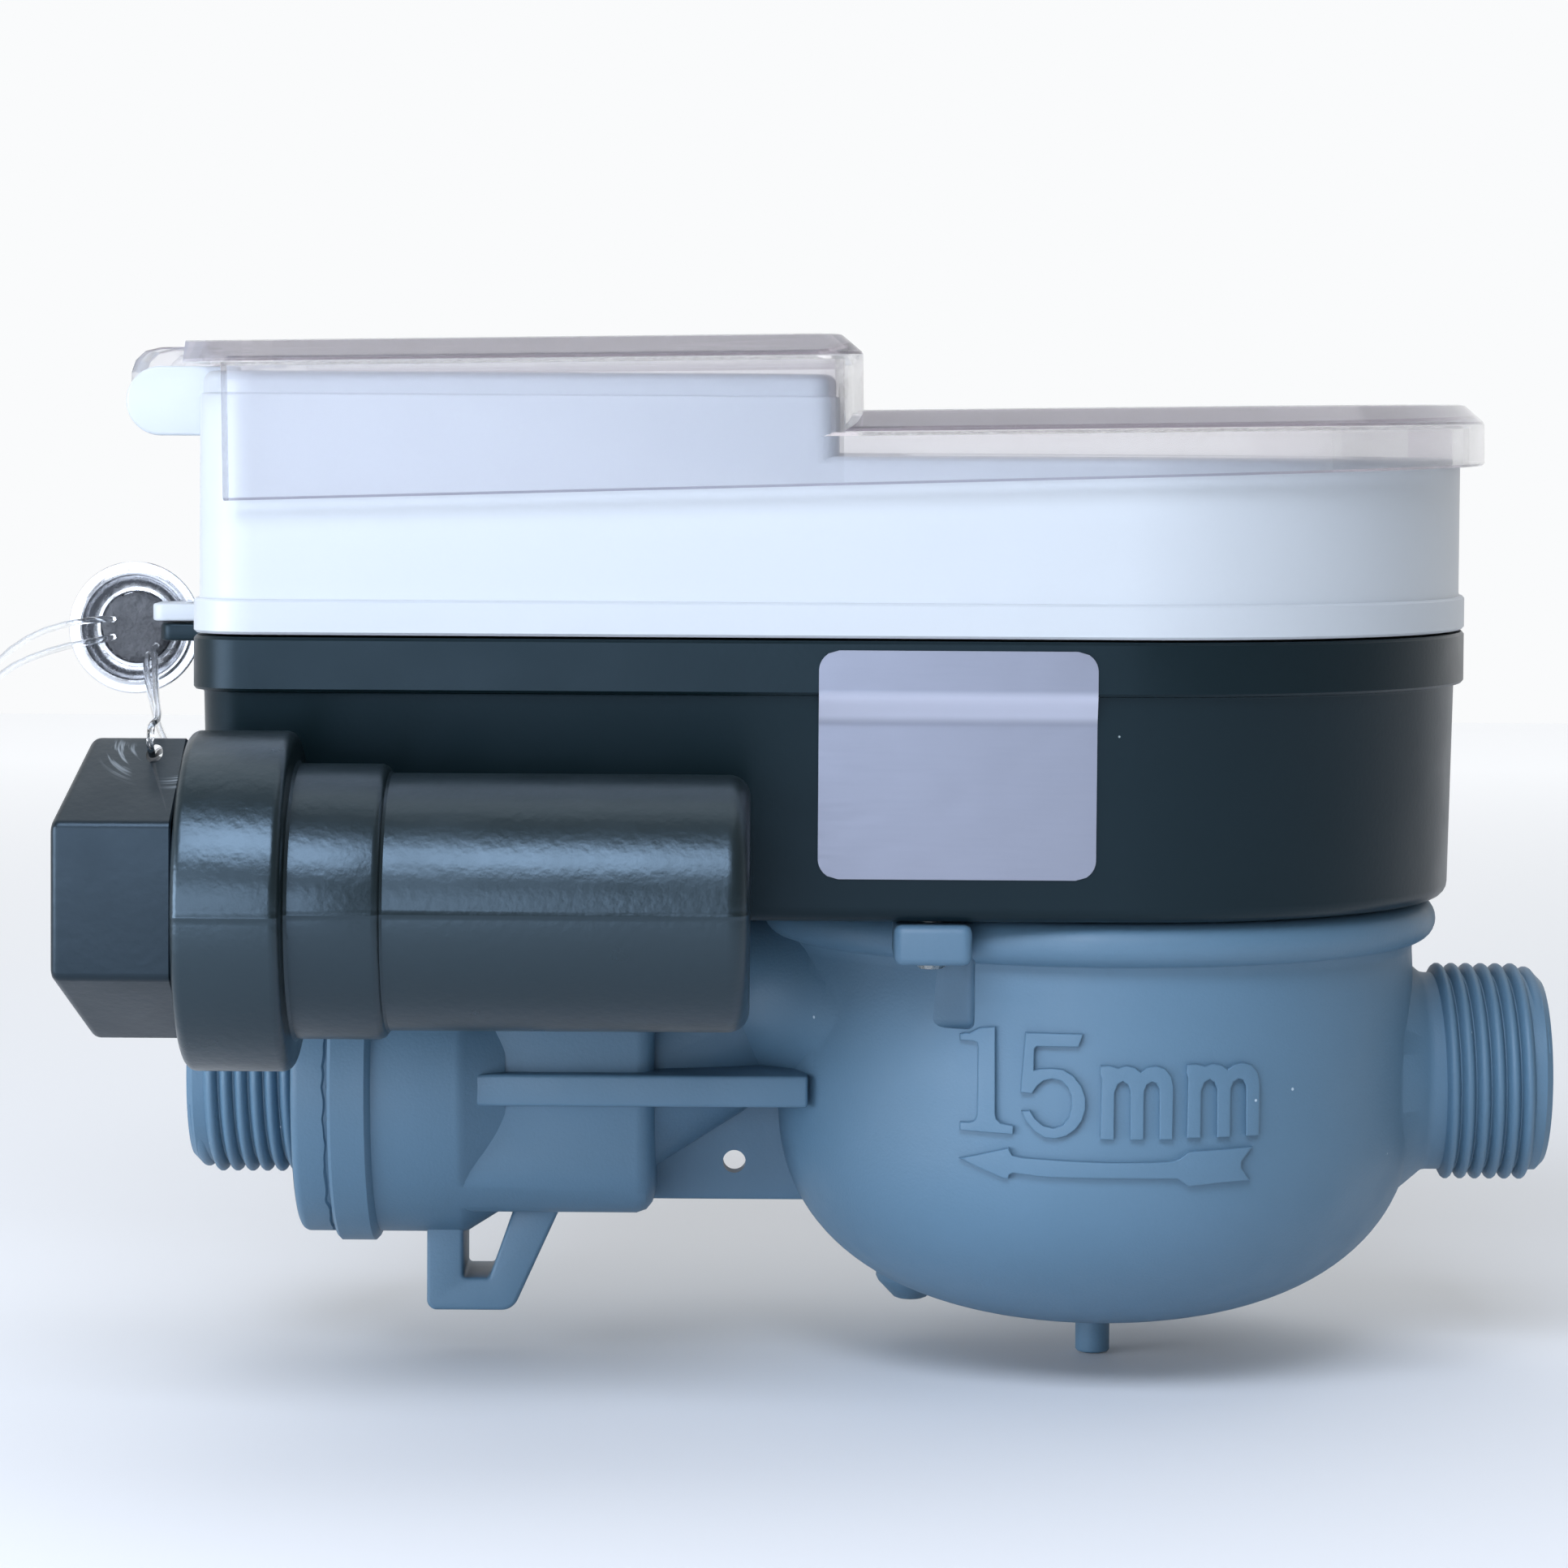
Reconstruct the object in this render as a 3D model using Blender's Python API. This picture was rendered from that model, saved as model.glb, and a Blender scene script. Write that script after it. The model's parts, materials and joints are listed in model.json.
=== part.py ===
"""Water meter for a 15 mm house connection, with a shut-off valve and a radio register.

Units are metres and +Z is up. The origin is the centre of the inlet's end face on the pipe axis.
The pipe runs along X: the inlet is at +X, the outlet at -X, and -Y is the front.
"""
import math

import bmesh
import bpy
from mathutils import Matrix, Vector

for old in list(bpy.data.objects):
    bpy.data.objects.remove(old, do_unlink=True)

# Clearance between neighbouring solids
GAP = 0.0003

# Reach of a cutter past the solid that it cuts, and of a solid into the one that it joins
OVER = 0.001
FAR_OVER = 0.010
BITE = 0.002

# Share of an edge's rounding that its middle ring has
SOFT_SHARE = 0.3

# Height that a square step takes, so that no ring lies on another
STEP_SLOPE = 0.0002

# Pipe line: laying length of a 15 mm meter, with parallel 3/4 inch pipe threads at both ends
LENGTH = 0.165
BORE_RADIUS = 0.0072
THREAD_ROOT_RADIUS = 0.01206
THREAD_CHAMFER = 0.0008
THREAD_REACH = 0.0145
OUTLET_X = -LENGTH

# Bowl that holds the measuring chamber, turned about a vertical axis
BOWL_X = -0.0546
CASE_HALF_WIDTH = 0.0443
BOWL_RADIUS = CASE_HALF_WIDTH - 0.0053
BOWL_RIM_RADIUS = BOWL_RADIUS - 0.0005
BOWL_DEPTH = 0.0299
BOWL_TOP = 0.0220
BOWL_SHOULDER = 0.0020
BOWL_BELLY = 0.0030
BEAD_RADIUS = BOWL_RADIUS + 0.0023
BEAD_HEIGHT = 0.0055
POCKET_RADIUS = BOWL_RADIUS - 0.0040
POCKET_FLOOR = 0.0010
JET_SPACE_RADIUS = BOWL_RADIUS - 0.0080
BOWL_FLOOR_THICKNESS = 0.0038
JET_SPACE_STRAIGHT = 0.0100
BOWL_FULLNESS = 2.4
PEG_FOOT_RADIUS = 0.0021
PEG_FOOT_DROP = 0.0051
DRAIN_BOSS_RADIUS = 0.0042
DRAIN_BOSS_DROP = 0.0308
DRAIN_BOSS_PLACE = (-0.0222, 0.0120)

# Inlet neck, flared from the thread into the bowl
NECK_RADIUS = 0.0122
NECK_SHOULDER = (0.0156, 0.0189)
NECK_FLARE_RADIUS = 0.0212
NECK_END = 0.0265
PASSAGE_RADIUS = 0.0065
INLET_BEND_X = -0.0060
INLET_PASSAGE_END = (BOWL_X + JET_SPACE_RADIUS - 0.0039, -0.0116)

# Valve body, placed from its stem
STEM_TO_OUTLET = 0.0456
VALVE_X = OUTLET_X + STEM_TO_OUTLET
RING_RADIUS = 0.0215
RING_LEFT = -0.0277
RING_RIGHT = -0.0229
BARREL_RADIUS = 0.0204
BARREL_RIGHT = -0.0102
BARREL_CHAMFER = 0.0034
SQUARE_HALF = 0.0166
SQUARE_CORNER = 0.0075
SQUARE_RIGHT = 0.0110
SQUARE_CHAMFER = 0.0020
TOWER_HALF = 0.0140
TOWER_CORNER = 0.0050
TOWER_SET_BACK = 0.0007
FITTING_BORE_RADIUS = 0.0150
FITTING_DISC = 0.0042
CHAMBER_RADIUS = 0.0119
OUTLET_NECK_RADIUS = 0.0134
OUTLET_NECK_SMALL = 0.0098
OUTLET_NECK_RISE = 0.0090
RIB_FRONT = 0.0190
RIB_LOW = -0.0024
RIB_HIGH = 0.0014
GUSSET_BOTTOM = -0.0163
GUSSET_THICKNESS = 0.0030
TIE_HOLE_RADIUS = 0.0014
TIE_HOLE_DROP = 0.0116
TIE_HOLE_FROM_SQUARE = 0.0095

# Loop foot under the valve, for a tie or a bracket
FOOT_HALF_DEPTH = 0.0060
FOOT_BOTTOM = -0.0298
FOOT_BAR = 0.0044
FOOT_LEG = 0.0044
FOOT_SLANT = 0.0053
FOOT_LEFT = -0.0169
FOOT_BAR_RIGHT = -0.0064
FOOT_DIAGONAL_TOP = -0.0005
FOOT_LEFT_CORNER = 0.0008
FOOT_RIGHT_CORNER = 0.0020
FOOT_OPENING_LEAN = 0.55

# Ball valve
BALL_RADIUS = 0.0088
BALL_BORE_RADIUS = 0.0055
SEAT_LAND = 0.0074
SEAT_BACK = 0.0078
SLOT_WIDTH = 0.0036
SLOT_DEPTH = 0.0022
STEM_RADIUS = 0.0040
STEM_COLLAR_RADIUS = 0.0048
STEM_COLLAR_THICKNESS = 0.0012
STEM_GROOVE_RADIUS = 0.0026
STEM_GROOVE_HEIGHT = 0.0020
STEM_SEAL_RISE = 0.0160
TANG_HALF = 0.0045

# Lugs that the case is screwed down on
LUG_X = -0.0760
LUG_WIDTH = 0.0089
LUG_FRONT = CASE_HALF_WIDTH - 0.0022
LUG_THICKNESS = 0.0046
LUG_CORNER = 0.0012
RECESS_DEPTH = 0.0065
RECESS_RIGHT = 0.0051
RECESS_LOW = 0.0092
LUG_SCREW_Y = CASE_HALF_WIDTH - 0.0078
SCREW_RADIUS = 0.0020
SCREW_HEAD_RADIUS = 0.0034
SCREW_HEAD_HEIGHT = 0.0024
SCREW_TIP = 0.0009
SCREW_CHAMFER = 0.0006
SCREW_HOLE_FLOOR = 0.0050
TOWER_SCREW_Y = 0.0185
TOWER_FLANGE_HALF = 0.0230
TOWER_FLANGE_THICKNESS = 0.0040

# Case: straight sides, a round end over the bowl and a square end over the valve
CASE_LEFT_TO_STEM = 0.0406
CASE_LEFT = VALVE_X - CASE_LEFT_TO_STEM
CASE_CORNER = 0.0075
CASE_BOTTOM = BOWL_TOP + GAP
CASE_FLOOR = 0.0025
CASE_RIM_LOW = 0.0482
CASE_SPLIT = 0.0546
CASE_STEP = 0.0012
CASE_DRAFT = 0.0005
CASE_BOTTOM_ROUND = 0.0018
CASE_WALL = 0.0040
WELL_RADIUS = 0.0105
GASKET_INSET = 0.0011
GASKET_WIDTH = 0.0011
GASKET_HEIGHT = 0.0010

# Housing over the electronics, with two decks
RIM_HEIGHT = 0.0041
HOUSING_STEP = 0.0007
HOUSING_WALL = 0.0023
HOUSING_HEIGHT = 0.0300
UPPER_DECK = CASE_SPLIT + HOUSING_HEIGHT
DECK_DROP = 0.0093
LOWER_DECK = UPPER_DECK - DECK_DROP
DECK_STEP_FROM_BOWL = 0.0324
DECK_STEP_X = BOWL_X - DECK_STEP_FROM_BOWL
DECK_THICKNESS = 0.0023
DECK_CORNER = 0.0030
DECK_FILLET = 0.0012
UPPER_SET_BACK = 0.0002
WINDOW_LENGTH = 0.0540
WINDOW_WIDTH = CASE_HALF_WIDTH * 2 / 3
WINDOW_CORNER = 0.0030
WINDOW_X = BOWL_X + 0.0030

# Seal lugs on the left end, one above the other
SEAL_LUG_Y = -0.0050
SEAL_LUG_WIDTH = 0.0080
SEAL_LUG_REACH = 0.0095
SEAL_LUG_THICKNESS = 0.0021
SEAL_LUG_HOLE_RADIUS = 0.0011
SEAL_LUG_SET_BACK = 0.0010
SEAL_LUG_CORNER = 0.0015

# Clear lid, hinged at the left end and left a little ajar
LID_AJAR = math.radians(1.0)
LID_PLAY = 0.0010
LID_WALL = 0.0018
LID_PLATE = 0.0025
LID_BEVEL_DROP = 0.0022
LID_BEVEL_INSET = 0.0026
LID_UPPER_RISE = 0.0032
LID_LOWER_RISE = 0.0038
LID_SKIRT_BOTTOM = LOWER_DECK - 0.0049
LID_STEP_OUT = 0.0024
LID_SKIRT_LEFT = CASE_LEFT + 0.0035
LID_LEFT_CUT = 0.0140
HINGE_REACH = 0.0076
HINGE_X = CASE_LEFT - HINGE_REACH
HINGE_Z = UPPER_DECK - 0.0034
EAR_RADIUS = 0.00405
EAR_OUTER_Y = 0.0270
EAR_THICKNESS = 0.0050
EAR_BLIND_WALL = 0.0015
PIN_RADIUS = 0.0012
KNUCKLE_RADIUS = 0.0036
KNUCKLE_LENGTH = 0.0120
KNUCKLE_BACK = ((-0.0026, 0.0020), (-0.0012, 0.0006), (0.0006, 0.0002))

# Battery tube beside the case
TUBE_Y = -CASE_HALF_WIDTH - 0.0097
TUBE_Z = 0.0256
TUBE_RADIUS = 0.0143
TUBE_LENGTH = 0.0401
TUBE_END_ROUND = 0.0020
COLLAR_RADIUS = 0.0153
COLLAR_LENGTH = 0.0103
FLANGE_RADIUS = 0.0189
FLANGE_LENGTH = 0.0118
FLANGE_LEFT = CASE_LEFT + 0.0010
FLANGE_ROUND = 0.0012
TUBE_BORE_RADIUS = 0.0118
TUBE_END_WALL = 0.0020
CAP_CORNER_RADIUS = 0.0169
CAP_LENGTH = 0.0133
CAP_EDGE_ROUND = 0.0012
CAP_PLUG_LENGTH = 0.0084
CAP_RECESS_RADIUS = 0.0080
CAP_RECESS_DEPTH = 0.0170
CAP_HOLE_RADIUS = 0.0009
CAP_HOLE_DROP = 0.0017
CAP_LIFT = 0.0013
CAP_SLANT = 0.17
CAP_HOLE_FROM_FLANGE = 0.0036
CAP_SEAL_THICKNESS = 0.0010
CAP_SEAL_RADIUS = 0.0125
CELL_RADIUS = 0.00925
CELL_NUB_RADIUS = 0.0030
CELL_NUB_HEIGHT = 0.0012
CONTACT_THICKNESS = 0.0005

# Measuring chamber and impeller
CHAMBER_CUP_RADIUS = JET_SPACE_RADIUS - 0.0045
CHAMBER_CUP_WALL = 0.0020
CHAMBER_CUP_BOTTOM = -0.0170
CHAMBER_CUP_TOP = 0.0110
CHAMBER_FLANGE_RADIUS = POCKET_RADIUS - 0.0015
CHAMBER_FLANGE_THICKNESS = 0.0020
JET_COUNT = 7
JET_WIDTH = 0.0040
JET_HEIGHT = 0.0060
JET_SWIRL = math.radians(35)
JET_LOW = -0.0120
RETURN_LOW = 0.0048
RETURN_HEIGHT = 0.0042
COVER_THICKNESS = 0.0017
IMPELLER_BLADES = 8
IMPELLER_RADIUS = CHAMBER_CUP_RADIUS - 0.0045
IMPELLER_HUB_RADIUS = 0.0042
IMPELLER_HEIGHT = 0.0110
IMPELLER_LIFT = 0.0010
BLADE_THICKNESS = 0.0012
PIVOT_RADIUS = 0.0010
PIVOT_HEIGHT = 0.0060
MAGNET_RADIUS = 0.0065
MAGNET_HEIGHT = 0.0040
STRAINER_DEPTH = 0.0050
STRAINER_HOLES = 6
STRAINER_HOLE_RADIUS = 0.0011
STRAINER_THICKNESS = 0.0012
STRAINER_FROM_FACE = 0.0085

# Sealing plate over the wet side
PLATE_RIM_HEIGHT = 0.0040
PLATE_THICKNESS = 0.0022
PLATE_RIM_WIDTH = 0.0060
PLATE_GROOVE_DEPTH = 0.0016
PLATE_GROOVE_HEIGHT = 0.0020

# Register and valve gears
GEAR_MODULE = 0.0010
GEAR_THICKNESS = 0.0030
REGISTER_PINION_TEETH = 10
PULSE_GEAR_TEETH = 20
VALVE_GEAR_TEETH = 24
VALVE_PINION_TEETH = 10
GEAR_LEVEL = 0.0290
AXLE_RADIUS = 0.0012
FRAME_PLATE_THICKNESS = 0.0016
FRAME_LEG = 0.0030
FRAME_HALF_WIDTH = 0.0175
FRAME_LEG_LENGTH = 0.0140
MOTOR_RADIUS = 0.0060
MOTOR_HEIGHT = 0.0130
GEARBOX_HEIGHT = 0.0060
GEARBOX_RADIUS = 0.0080
BRACKET_HALF_LENGTH = 0.0095
FRAME_END = 0.0040

# Electronics
BOARD_THICKNESS = 0.0016
BOARD_INSET = 0.0028
PANEL_THICKNESS = 0.0025
PANEL_MARGIN = 0.0020
PANEL_LEG = 0.0030
RADIO_LENGTH = 0.0220
RADIO_WIDTH = 0.0180
RADIO_HEIGHT = 0.0030
ANTENNA_RADIUS = 0.0020
ANTENNA_HEIGHT = HOUSING_HEIGHT - 0.0070
RADIO_FROM_STEM = 0.0100
ANTENNA_FROM_STEM = -0.0180

# Wire seal: an aluminium cup filled with putty, on a clear cord through the hexagonal cap
SEAL_RADIUS = 0.0081
SEAL_RIM_RADIUS = 0.0068
SEAL_DEPTH = 0.0046
SEAL_BOTTOM_RADIUS = 0.0050
SEAL_WALL = 0.0005
PUTTY_RADIUS = 0.0042
PUTTY_PROUD = 0.0006
SEAL_X = CASE_LEFT - 0.0127
SEAL_Z = CASE_SPLIT - 0.0010
SEAL_BACK_Y = SEAL_LUG_Y + SEAL_LUG_WIDTH / 2 + GAP + SEAL_DEPTH
CORD_RADIUS = 0.0004
CORD_SPACING = CORD_RADIUS * 6

# Enlargement while solids are cut and joined
ENLARGED = 1000.0
WELD = 0.001

# Sides of round pieces, by size
BOWL_STEPS = 36
ROUND_STEPS = 24
SMALL_STEPS = 14
PIN_STEPS = 16


def look(name, colour, roughness, metallic=0.0, alpha=1.0):
    """A plain material from an sRGB hex colour."""
    channels = [int(colour[i:i + 2], 16) / 255 for i in (0, 2, 4)]
    linear = [c / 12.92 if c <= 0.04045 else ((c + 0.055) / 1.055) ** 2.4 for c in channels]
    material = bpy.data.materials.new(name)
    material.use_nodes = True
    shader = material.node_tree.nodes["Principled BSDF"]
    shader.inputs["Base Color"].default_value = (*linear, 1.0)
    shader.inputs["Roughness"].default_value = roughness
    shader.inputs["Metallic"].default_value = metallic
    shader.inputs["Alpha"].default_value = alpha
    material.diffuse_color = (*linear, alpha)
    return material


BLUE_BODY = look("grey_blue_nylon", "6A8BAB", 0.50)
BLACK_CASE = look("black_abs", "22272A", 0.42)
WHITE_CASE = look("white_abs", "E6ECF4", 0.40)
CLEAR_LID = look("clear_polycarbonate", "D8D6E0", 0.08, alpha=0.35)
WHITE_ACETAL = look("white_acetal", "E4E4DE", 0.45)
RUBBER = look("black_rubber", "1A1A1A", 0.70)
STEEL = look("steel", "B8B8B4", 0.30, 1.0)
BRASS = look("brass", "C6A254", 0.30, 1.0)
MAGNET = look("ferrite", "3A3A3C", 0.55)
BOARD = look("green_board", "1F5B36", 0.50)
ALUMINIUM = look("aluminium", "C9CBCF", 0.25, 1.0)
PUTTY = look("grey_putty", "585858", 0.85)
NYLON_CORD = look("clear_nylon", "E8EAEE", 0.20)
CELL_SLEEVE = look("green_sleeve", "2D7A4A", 0.35)


def along(direction, origin=(0, 0, 0)):
    """Matrix whose local Z runs along a direction, from an origin."""
    turn = Vector((0, 0, 1)).rotation_difference(Vector(direction)).to_matrix().to_4x4()
    return Matrix.Translation(Vector(origin)) @ turn


def finish_mesh(name, shape, material, place):
    """Turn a bmesh into a placed object with its faces pointing out."""
    bmesh.ops.recalc_face_normals(shape, faces=shape.faces)
    mesh = bpy.data.meshes.new(name)
    shape.to_mesh(mesh)
    shape.free()
    thing = bpy.data.objects.new(name, mesh)
    if material:
        mesh.materials.append(material)
    thing.matrix_world = place or Matrix.Identity(4)
    bpy.context.scene.collection.objects.link(thing)
    return thing


def skin(name, rings, material=None, place=None):
    """Closed solid skinned over rings of equal length, with both end rings filled."""
    shape = bmesh.new()
    rows = [[shape.verts.new(point) for point in ring] for ring in rings]
    count = len(rows[0])
    for low, high in zip(rows, rows[1:]):
        for i in range(count):
            j = (i + 1) % count
            shape.faces.new((low[i], low[j], high[j], high[i]))
    shape.faces.new(list(reversed(rows[0])))
    shape.faces.new(rows[-1])
    return finish_mesh(name, shape, material, place)


def plate(name, outline, low, high, material=None, place=None):
    """Flat outline given a thickness along local Z."""
    return skin(name, [[(x, y, z) for x, y in outline] for z in (low, high)], material, place)


def turned(name, profile, material=None, place=None, steps=ROUND_STEPS):
    """Solid turned about local Z from a closed profile of (radius, height) points."""
    shape = bmesh.new()
    rows = []
    for radius, height in profile:
        if radius <= 0:
            rows.append([shape.verts.new((0, 0, height))])
            continue
        angles = [2 * math.pi * i / steps for i in range(steps)]
        rows.append([shape.verts.new((radius * math.cos(a), radius * math.sin(a), height))
                     for a in angles])
    for here, there in zip(rows, rows[1:] + rows[:1]):
        for i in range(steps):
            j = (i + 1) % steps
            corners = [here[i % len(here)], here[j % len(here)],
                       there[j % len(there)], there[i % len(there)]]
            face = list(dict.fromkeys(corners))
            if len(face) > 2:
                shape.faces.new(face)
    return finish_mesh(name, shape, material, place)


def rod(name, radius, start, end, material=None, steps=SMALL_STEPS):
    """Plain cylinder between two points."""
    axis = Vector(end) - Vector(start)
    profile = [(0, 0), (radius, 0), (radius, axis.length), (0, axis.length)]
    return turned(name, profile, material, along(axis, start), steps)


def block(name, low, high, material=None):
    """Box between two corners."""
    outline = [(low[0], low[1]), (high[0], low[1]), (high[0], high[1]), (low[0], high[1])]
    return plate(name, outline, low[2], high[2], material)


def combine(target, tool, operation):
    """Join a tool to a solid, or cut it out, and take the tool away.

    Both are enlarged for the cut, so that thin walls stay far above the solver's smallest length.
    """
    bpy.context.view_layer.update()
    home = target.matrix_world.copy()
    for thing in (target, tool):
        thing.data.transform(Matrix.Scale(ENLARGED, 4) @ thing.matrix_world)
        thing.matrix_world = Matrix.Identity(4)
    change = target.modifiers.new("combine", "BOOLEAN")
    change.operation = operation
    change.object = tool
    change.solver = "EXACT"
    bpy.context.view_layer.update()
    graph = bpy.context.evaluated_depsgraph_get()
    mesh = bpy.data.meshes.new_from_object(target.evaluated_get(graph))
    target.modifiers.remove(change)
    clean = bmesh.new()
    clean.from_mesh(mesh)
    bmesh.ops.remove_doubles(clean, verts=clean.verts, dist=WELD)
    clean.to_mesh(mesh)
    clean.free()
    mesh.transform(home.inverted() @ Matrix.Scale(1 / ENLARGED, 4))
    target.data = mesh
    target.matrix_world = home
    bpy.data.objects.remove(tool, do_unlink=True)
    return target


def join(target, *tools):
    """Fuse every tool with the solid."""
    for tool in tools:
        combine(target, tool, "UNION")
    return target


def cut(target, *tools):
    """Cut every tool out of the solid."""
    for tool in tools:
        combine(target, tool, "DIFFERENCE")
    return target


def rounded(corners, steps=3):
    """Closed outline through (x, y, radius) corners, each turned into an arc."""
    points = []
    for i, (x, y, radius) in enumerate(corners):
        here = Vector((x, y))
        if radius <= 0:
            points.append(here)
            continue
        back = (Vector(corners[i - 1][:2]) - here).normalized()
        ahead = (Vector(corners[(i + 1) % len(corners)][:2]) - here).normalized()
        half = back.angle(ahead) / 2
        centre = here + (back + ahead).normalized() * radius / math.sin(half)
        start = here + back * radius / math.tan(half) - centre
        end = here + ahead * radius / math.tan(half) - centre
        first = math.atan2(start.y, start.x)
        sweep = (math.atan2(end.y, end.x) - first + math.pi) % (2 * math.pi) - math.pi
        for step in range(steps + 1):
            angle = first + sweep * step / steps
            points.append(centre + Vector((math.cos(angle), math.sin(angle))) * radius)
    apart = [p for i, p in enumerate(points) if (p - points[i - 1]).length > 1e-6]
    return [(p.x, p.y) for p in apart]


def rounded_box(left, right, half_width, corner, steps=3):
    """Box outline, even about its own X axis, with four round corners."""
    return rounded([(left, -half_width, corner), (right, -half_width, corner),
                    (right, half_width, corner), (left, half_width, corner)], steps)


def circle(radius, steps=SMALL_STEPS):
    """Round outline."""
    angles = [2 * math.pi * i / steps for i in range(steps)]
    return [(radius * math.cos(a), radius * math.sin(a)) for a in angles]


def case_plan(inset, left=CASE_LEFT, right=None):
    """Plan of the case: a round end about the bowl's axis and a square end on the left.

    With a right end given, the plan stops there in a straight edge with small corners.
    """
    half = CASE_HALF_WIDTH - inset
    corner = max(CASE_CORNER - inset, DECK_FILLET)
    end, end_radius = (BOWL_X + half, half) if right is None else (right, DECK_CORNER)
    corner_arc = rounded([(left + inset, 0, 0), (left + inset, -half, corner), (end, -half, 0)], 3)[1:-1]
    end_steps = 10 if right is None else 2
    end_arc = rounded([(left, -half, 0), (end, -half, end_radius), (end, 0, 0)], end_steps)[1:]
    front = [(left + inset, 0)] + corner_arc + end_arc
    outline = front + [(x, -y) for x, y in reversed(front)]
    return [p for i, p in enumerate(outline) if math.dist(p, outline[i - 1]) > 1e-6]


def ring_at(outline, height):
    """Lift a flat outline to a height."""
    return [(x, y, height) for x, y in outline]


def gear_outline(teeth, phase=0.0):
    """Straight-flanked teeth with ample play, as on a moulded instrument gear."""
    pitch_radius = GEAR_MODULE * teeth / 2
    root, tip = pitch_radius - 1.1 * GEAR_MODULE, pitch_radius + 0.7 * GEAR_MODULE
    step = 2 * math.pi / teeth
    points = []
    for i in range(teeth):
        middle = phase + i * step
        for radius, share in ((root, -0.25), (tip, -0.10), (tip, 0.10), (root, 0.25)):
            angle = middle + share * step
            points.append((radius * math.cos(angle), radius * math.sin(angle)))
    return points


# Meter body

def bowl_profile():
    """Outer half-section of the bowl, from its rim down to the axis."""
    bead = BEAD_HEIGHT / 2
    points = [(0, BOWL_TOP), (BEAD_RADIUS - bead, BOWL_TOP)]
    for step in range(1, 5):
        angle = math.pi / 2 - math.pi * step / 5
        points.append((BEAD_RADIUS - bead + bead * math.cos(angle),
                       BOWL_TOP - bead + bead * math.sin(angle)))
    points.append((BOWL_RIM_RADIUS, BOWL_TOP - BEAD_HEIGHT - STEP_SLOPE))
    points.append((BOWL_RADIUS, BOWL_SHOULDER))
    # Below the belly the wall turns in along a fuller-than-round curve to the flat bottom
    depth = BOWL_DEPTH - BOWL_BELLY
    for step in range(0, 8):
        angle = math.pi / 2 * step / 7
        radius = BOWL_RADIUS * math.cos(angle) ** (2 / BOWL_FULLNESS)
        drop = depth * math.sin(angle) ** (2 / BOWL_FULLNESS)
        points.append((radius if step < 7 else 0, -BOWL_BELLY - drop))
    return points


def square_section(x, half, corner, steps=4):
    """Rounded square across the pipe."""
    return [(x, y, z) for y, z in rounded_box(-half, half, half, corner, steps)]


def round_section(x, radius, z=0.0, steps=24):
    """Circle across the pipe."""
    return [(x, y, h + z) for y, h in circle(radius, steps=steps)]


def valve_shell():
    """Barrel with its end ring, the squared chamber, the stem tower and its flange."""
    shell = turned("valve_barrel", [
        (0, RING_LEFT), (RING_RADIUS, RING_LEFT), (RING_RADIUS, RING_RIGHT), (BARREL_RADIUS, RING_RIGHT),
        (BARREL_RADIUS, BARREL_RIGHT - BARREL_CHAMFER / 2),
        (BARREL_RADIUS - BARREL_CHAMFER, BARREL_RIGHT + BARREL_CHAMFER),
        (0, BARREL_RIGHT + BARREL_CHAMFER)], None, along((1, 0, 0), (VALVE_X, 0, 0)))
    chamber = skin("valve_chamber", [
        square_section(VALVE_X + RING_RIGHT, SQUARE_HALF, SQUARE_CORNER),
        square_section(VALVE_X + SQUARE_RIGHT - SQUARE_CHAMFER, SQUARE_HALF, SQUARE_CORNER),
        square_section(VALVE_X + SQUARE_RIGHT, SQUARE_HALF - SQUARE_CHAMFER,
                       SQUARE_CORNER - SQUARE_CHAMFER / 2)])
    left, right = VALVE_X + BARREL_RIGHT + TOWER_SET_BACK, VALVE_X + SQUARE_RIGHT - TOWER_SET_BACK
    tower = plate("stem_tower", rounded_box(left, right, TOWER_HALF, TOWER_CORNER),
                  BITE, BOWL_TOP - TOWER_FLANGE_THICKNESS / 2)
    left, right = VALVE_X + BARREL_RIGHT, VALVE_X + SQUARE_RIGHT - TOWER_SET_BACK / 2
    flange = plate("tower_flange", rounded_box(left, right, TOWER_FLANGE_HALF, TOWER_CORNER),
                   BOWL_TOP - TOWER_FLANGE_THICKNESS, BOWL_TOP)
    return join(shell, chamber, tower, flange)


def loop_foot():
    """Open loop under the barrel: an upright leg, a bar and a slanted leg."""
    inner_left = FOOT_LEFT + FOOT_LEG
    top = -BARREL_RADIUS + 2 * BITE
    outer = rounded([(FOOT_LEFT, FOOT_BOTTOM, FOOT_LEFT_CORNER),
                     (FOOT_BAR_RIGHT, FOOT_BOTTOM, FOOT_RIGHT_CORNER),
                     (FOOT_DIAGONAL_TOP, top, 0), (FOOT_LEFT, top, 0)], 4)
    inner_right = FOOT_BAR_RIGHT - FOOT_SLANT * FOOT_OPENING_LEAN
    inner = [(inner_left, FOOT_BOTTOM + FOOT_BAR), (inner_right, FOOT_BOTTOM + FOOT_BAR),
             (FOOT_DIAGONAL_TOP - FOOT_SLANT, top + OVER), (inner_left, top + OVER)]
    stand = Matrix.Translation((VALVE_X, 0, 0)) @ Matrix.Rotation(math.pi / 2, 4, "X")
    foot = plate("loop_foot", outer, -FOOT_HALF_DEPTH, FOOT_HALF_DEPTH, None, stand)
    opening = plate("loop_opening", inner, -FOOT_HALF_DEPTH * 2, FOOT_HALF_DEPTH * 2, None, stand)
    return cut(foot, opening)


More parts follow.
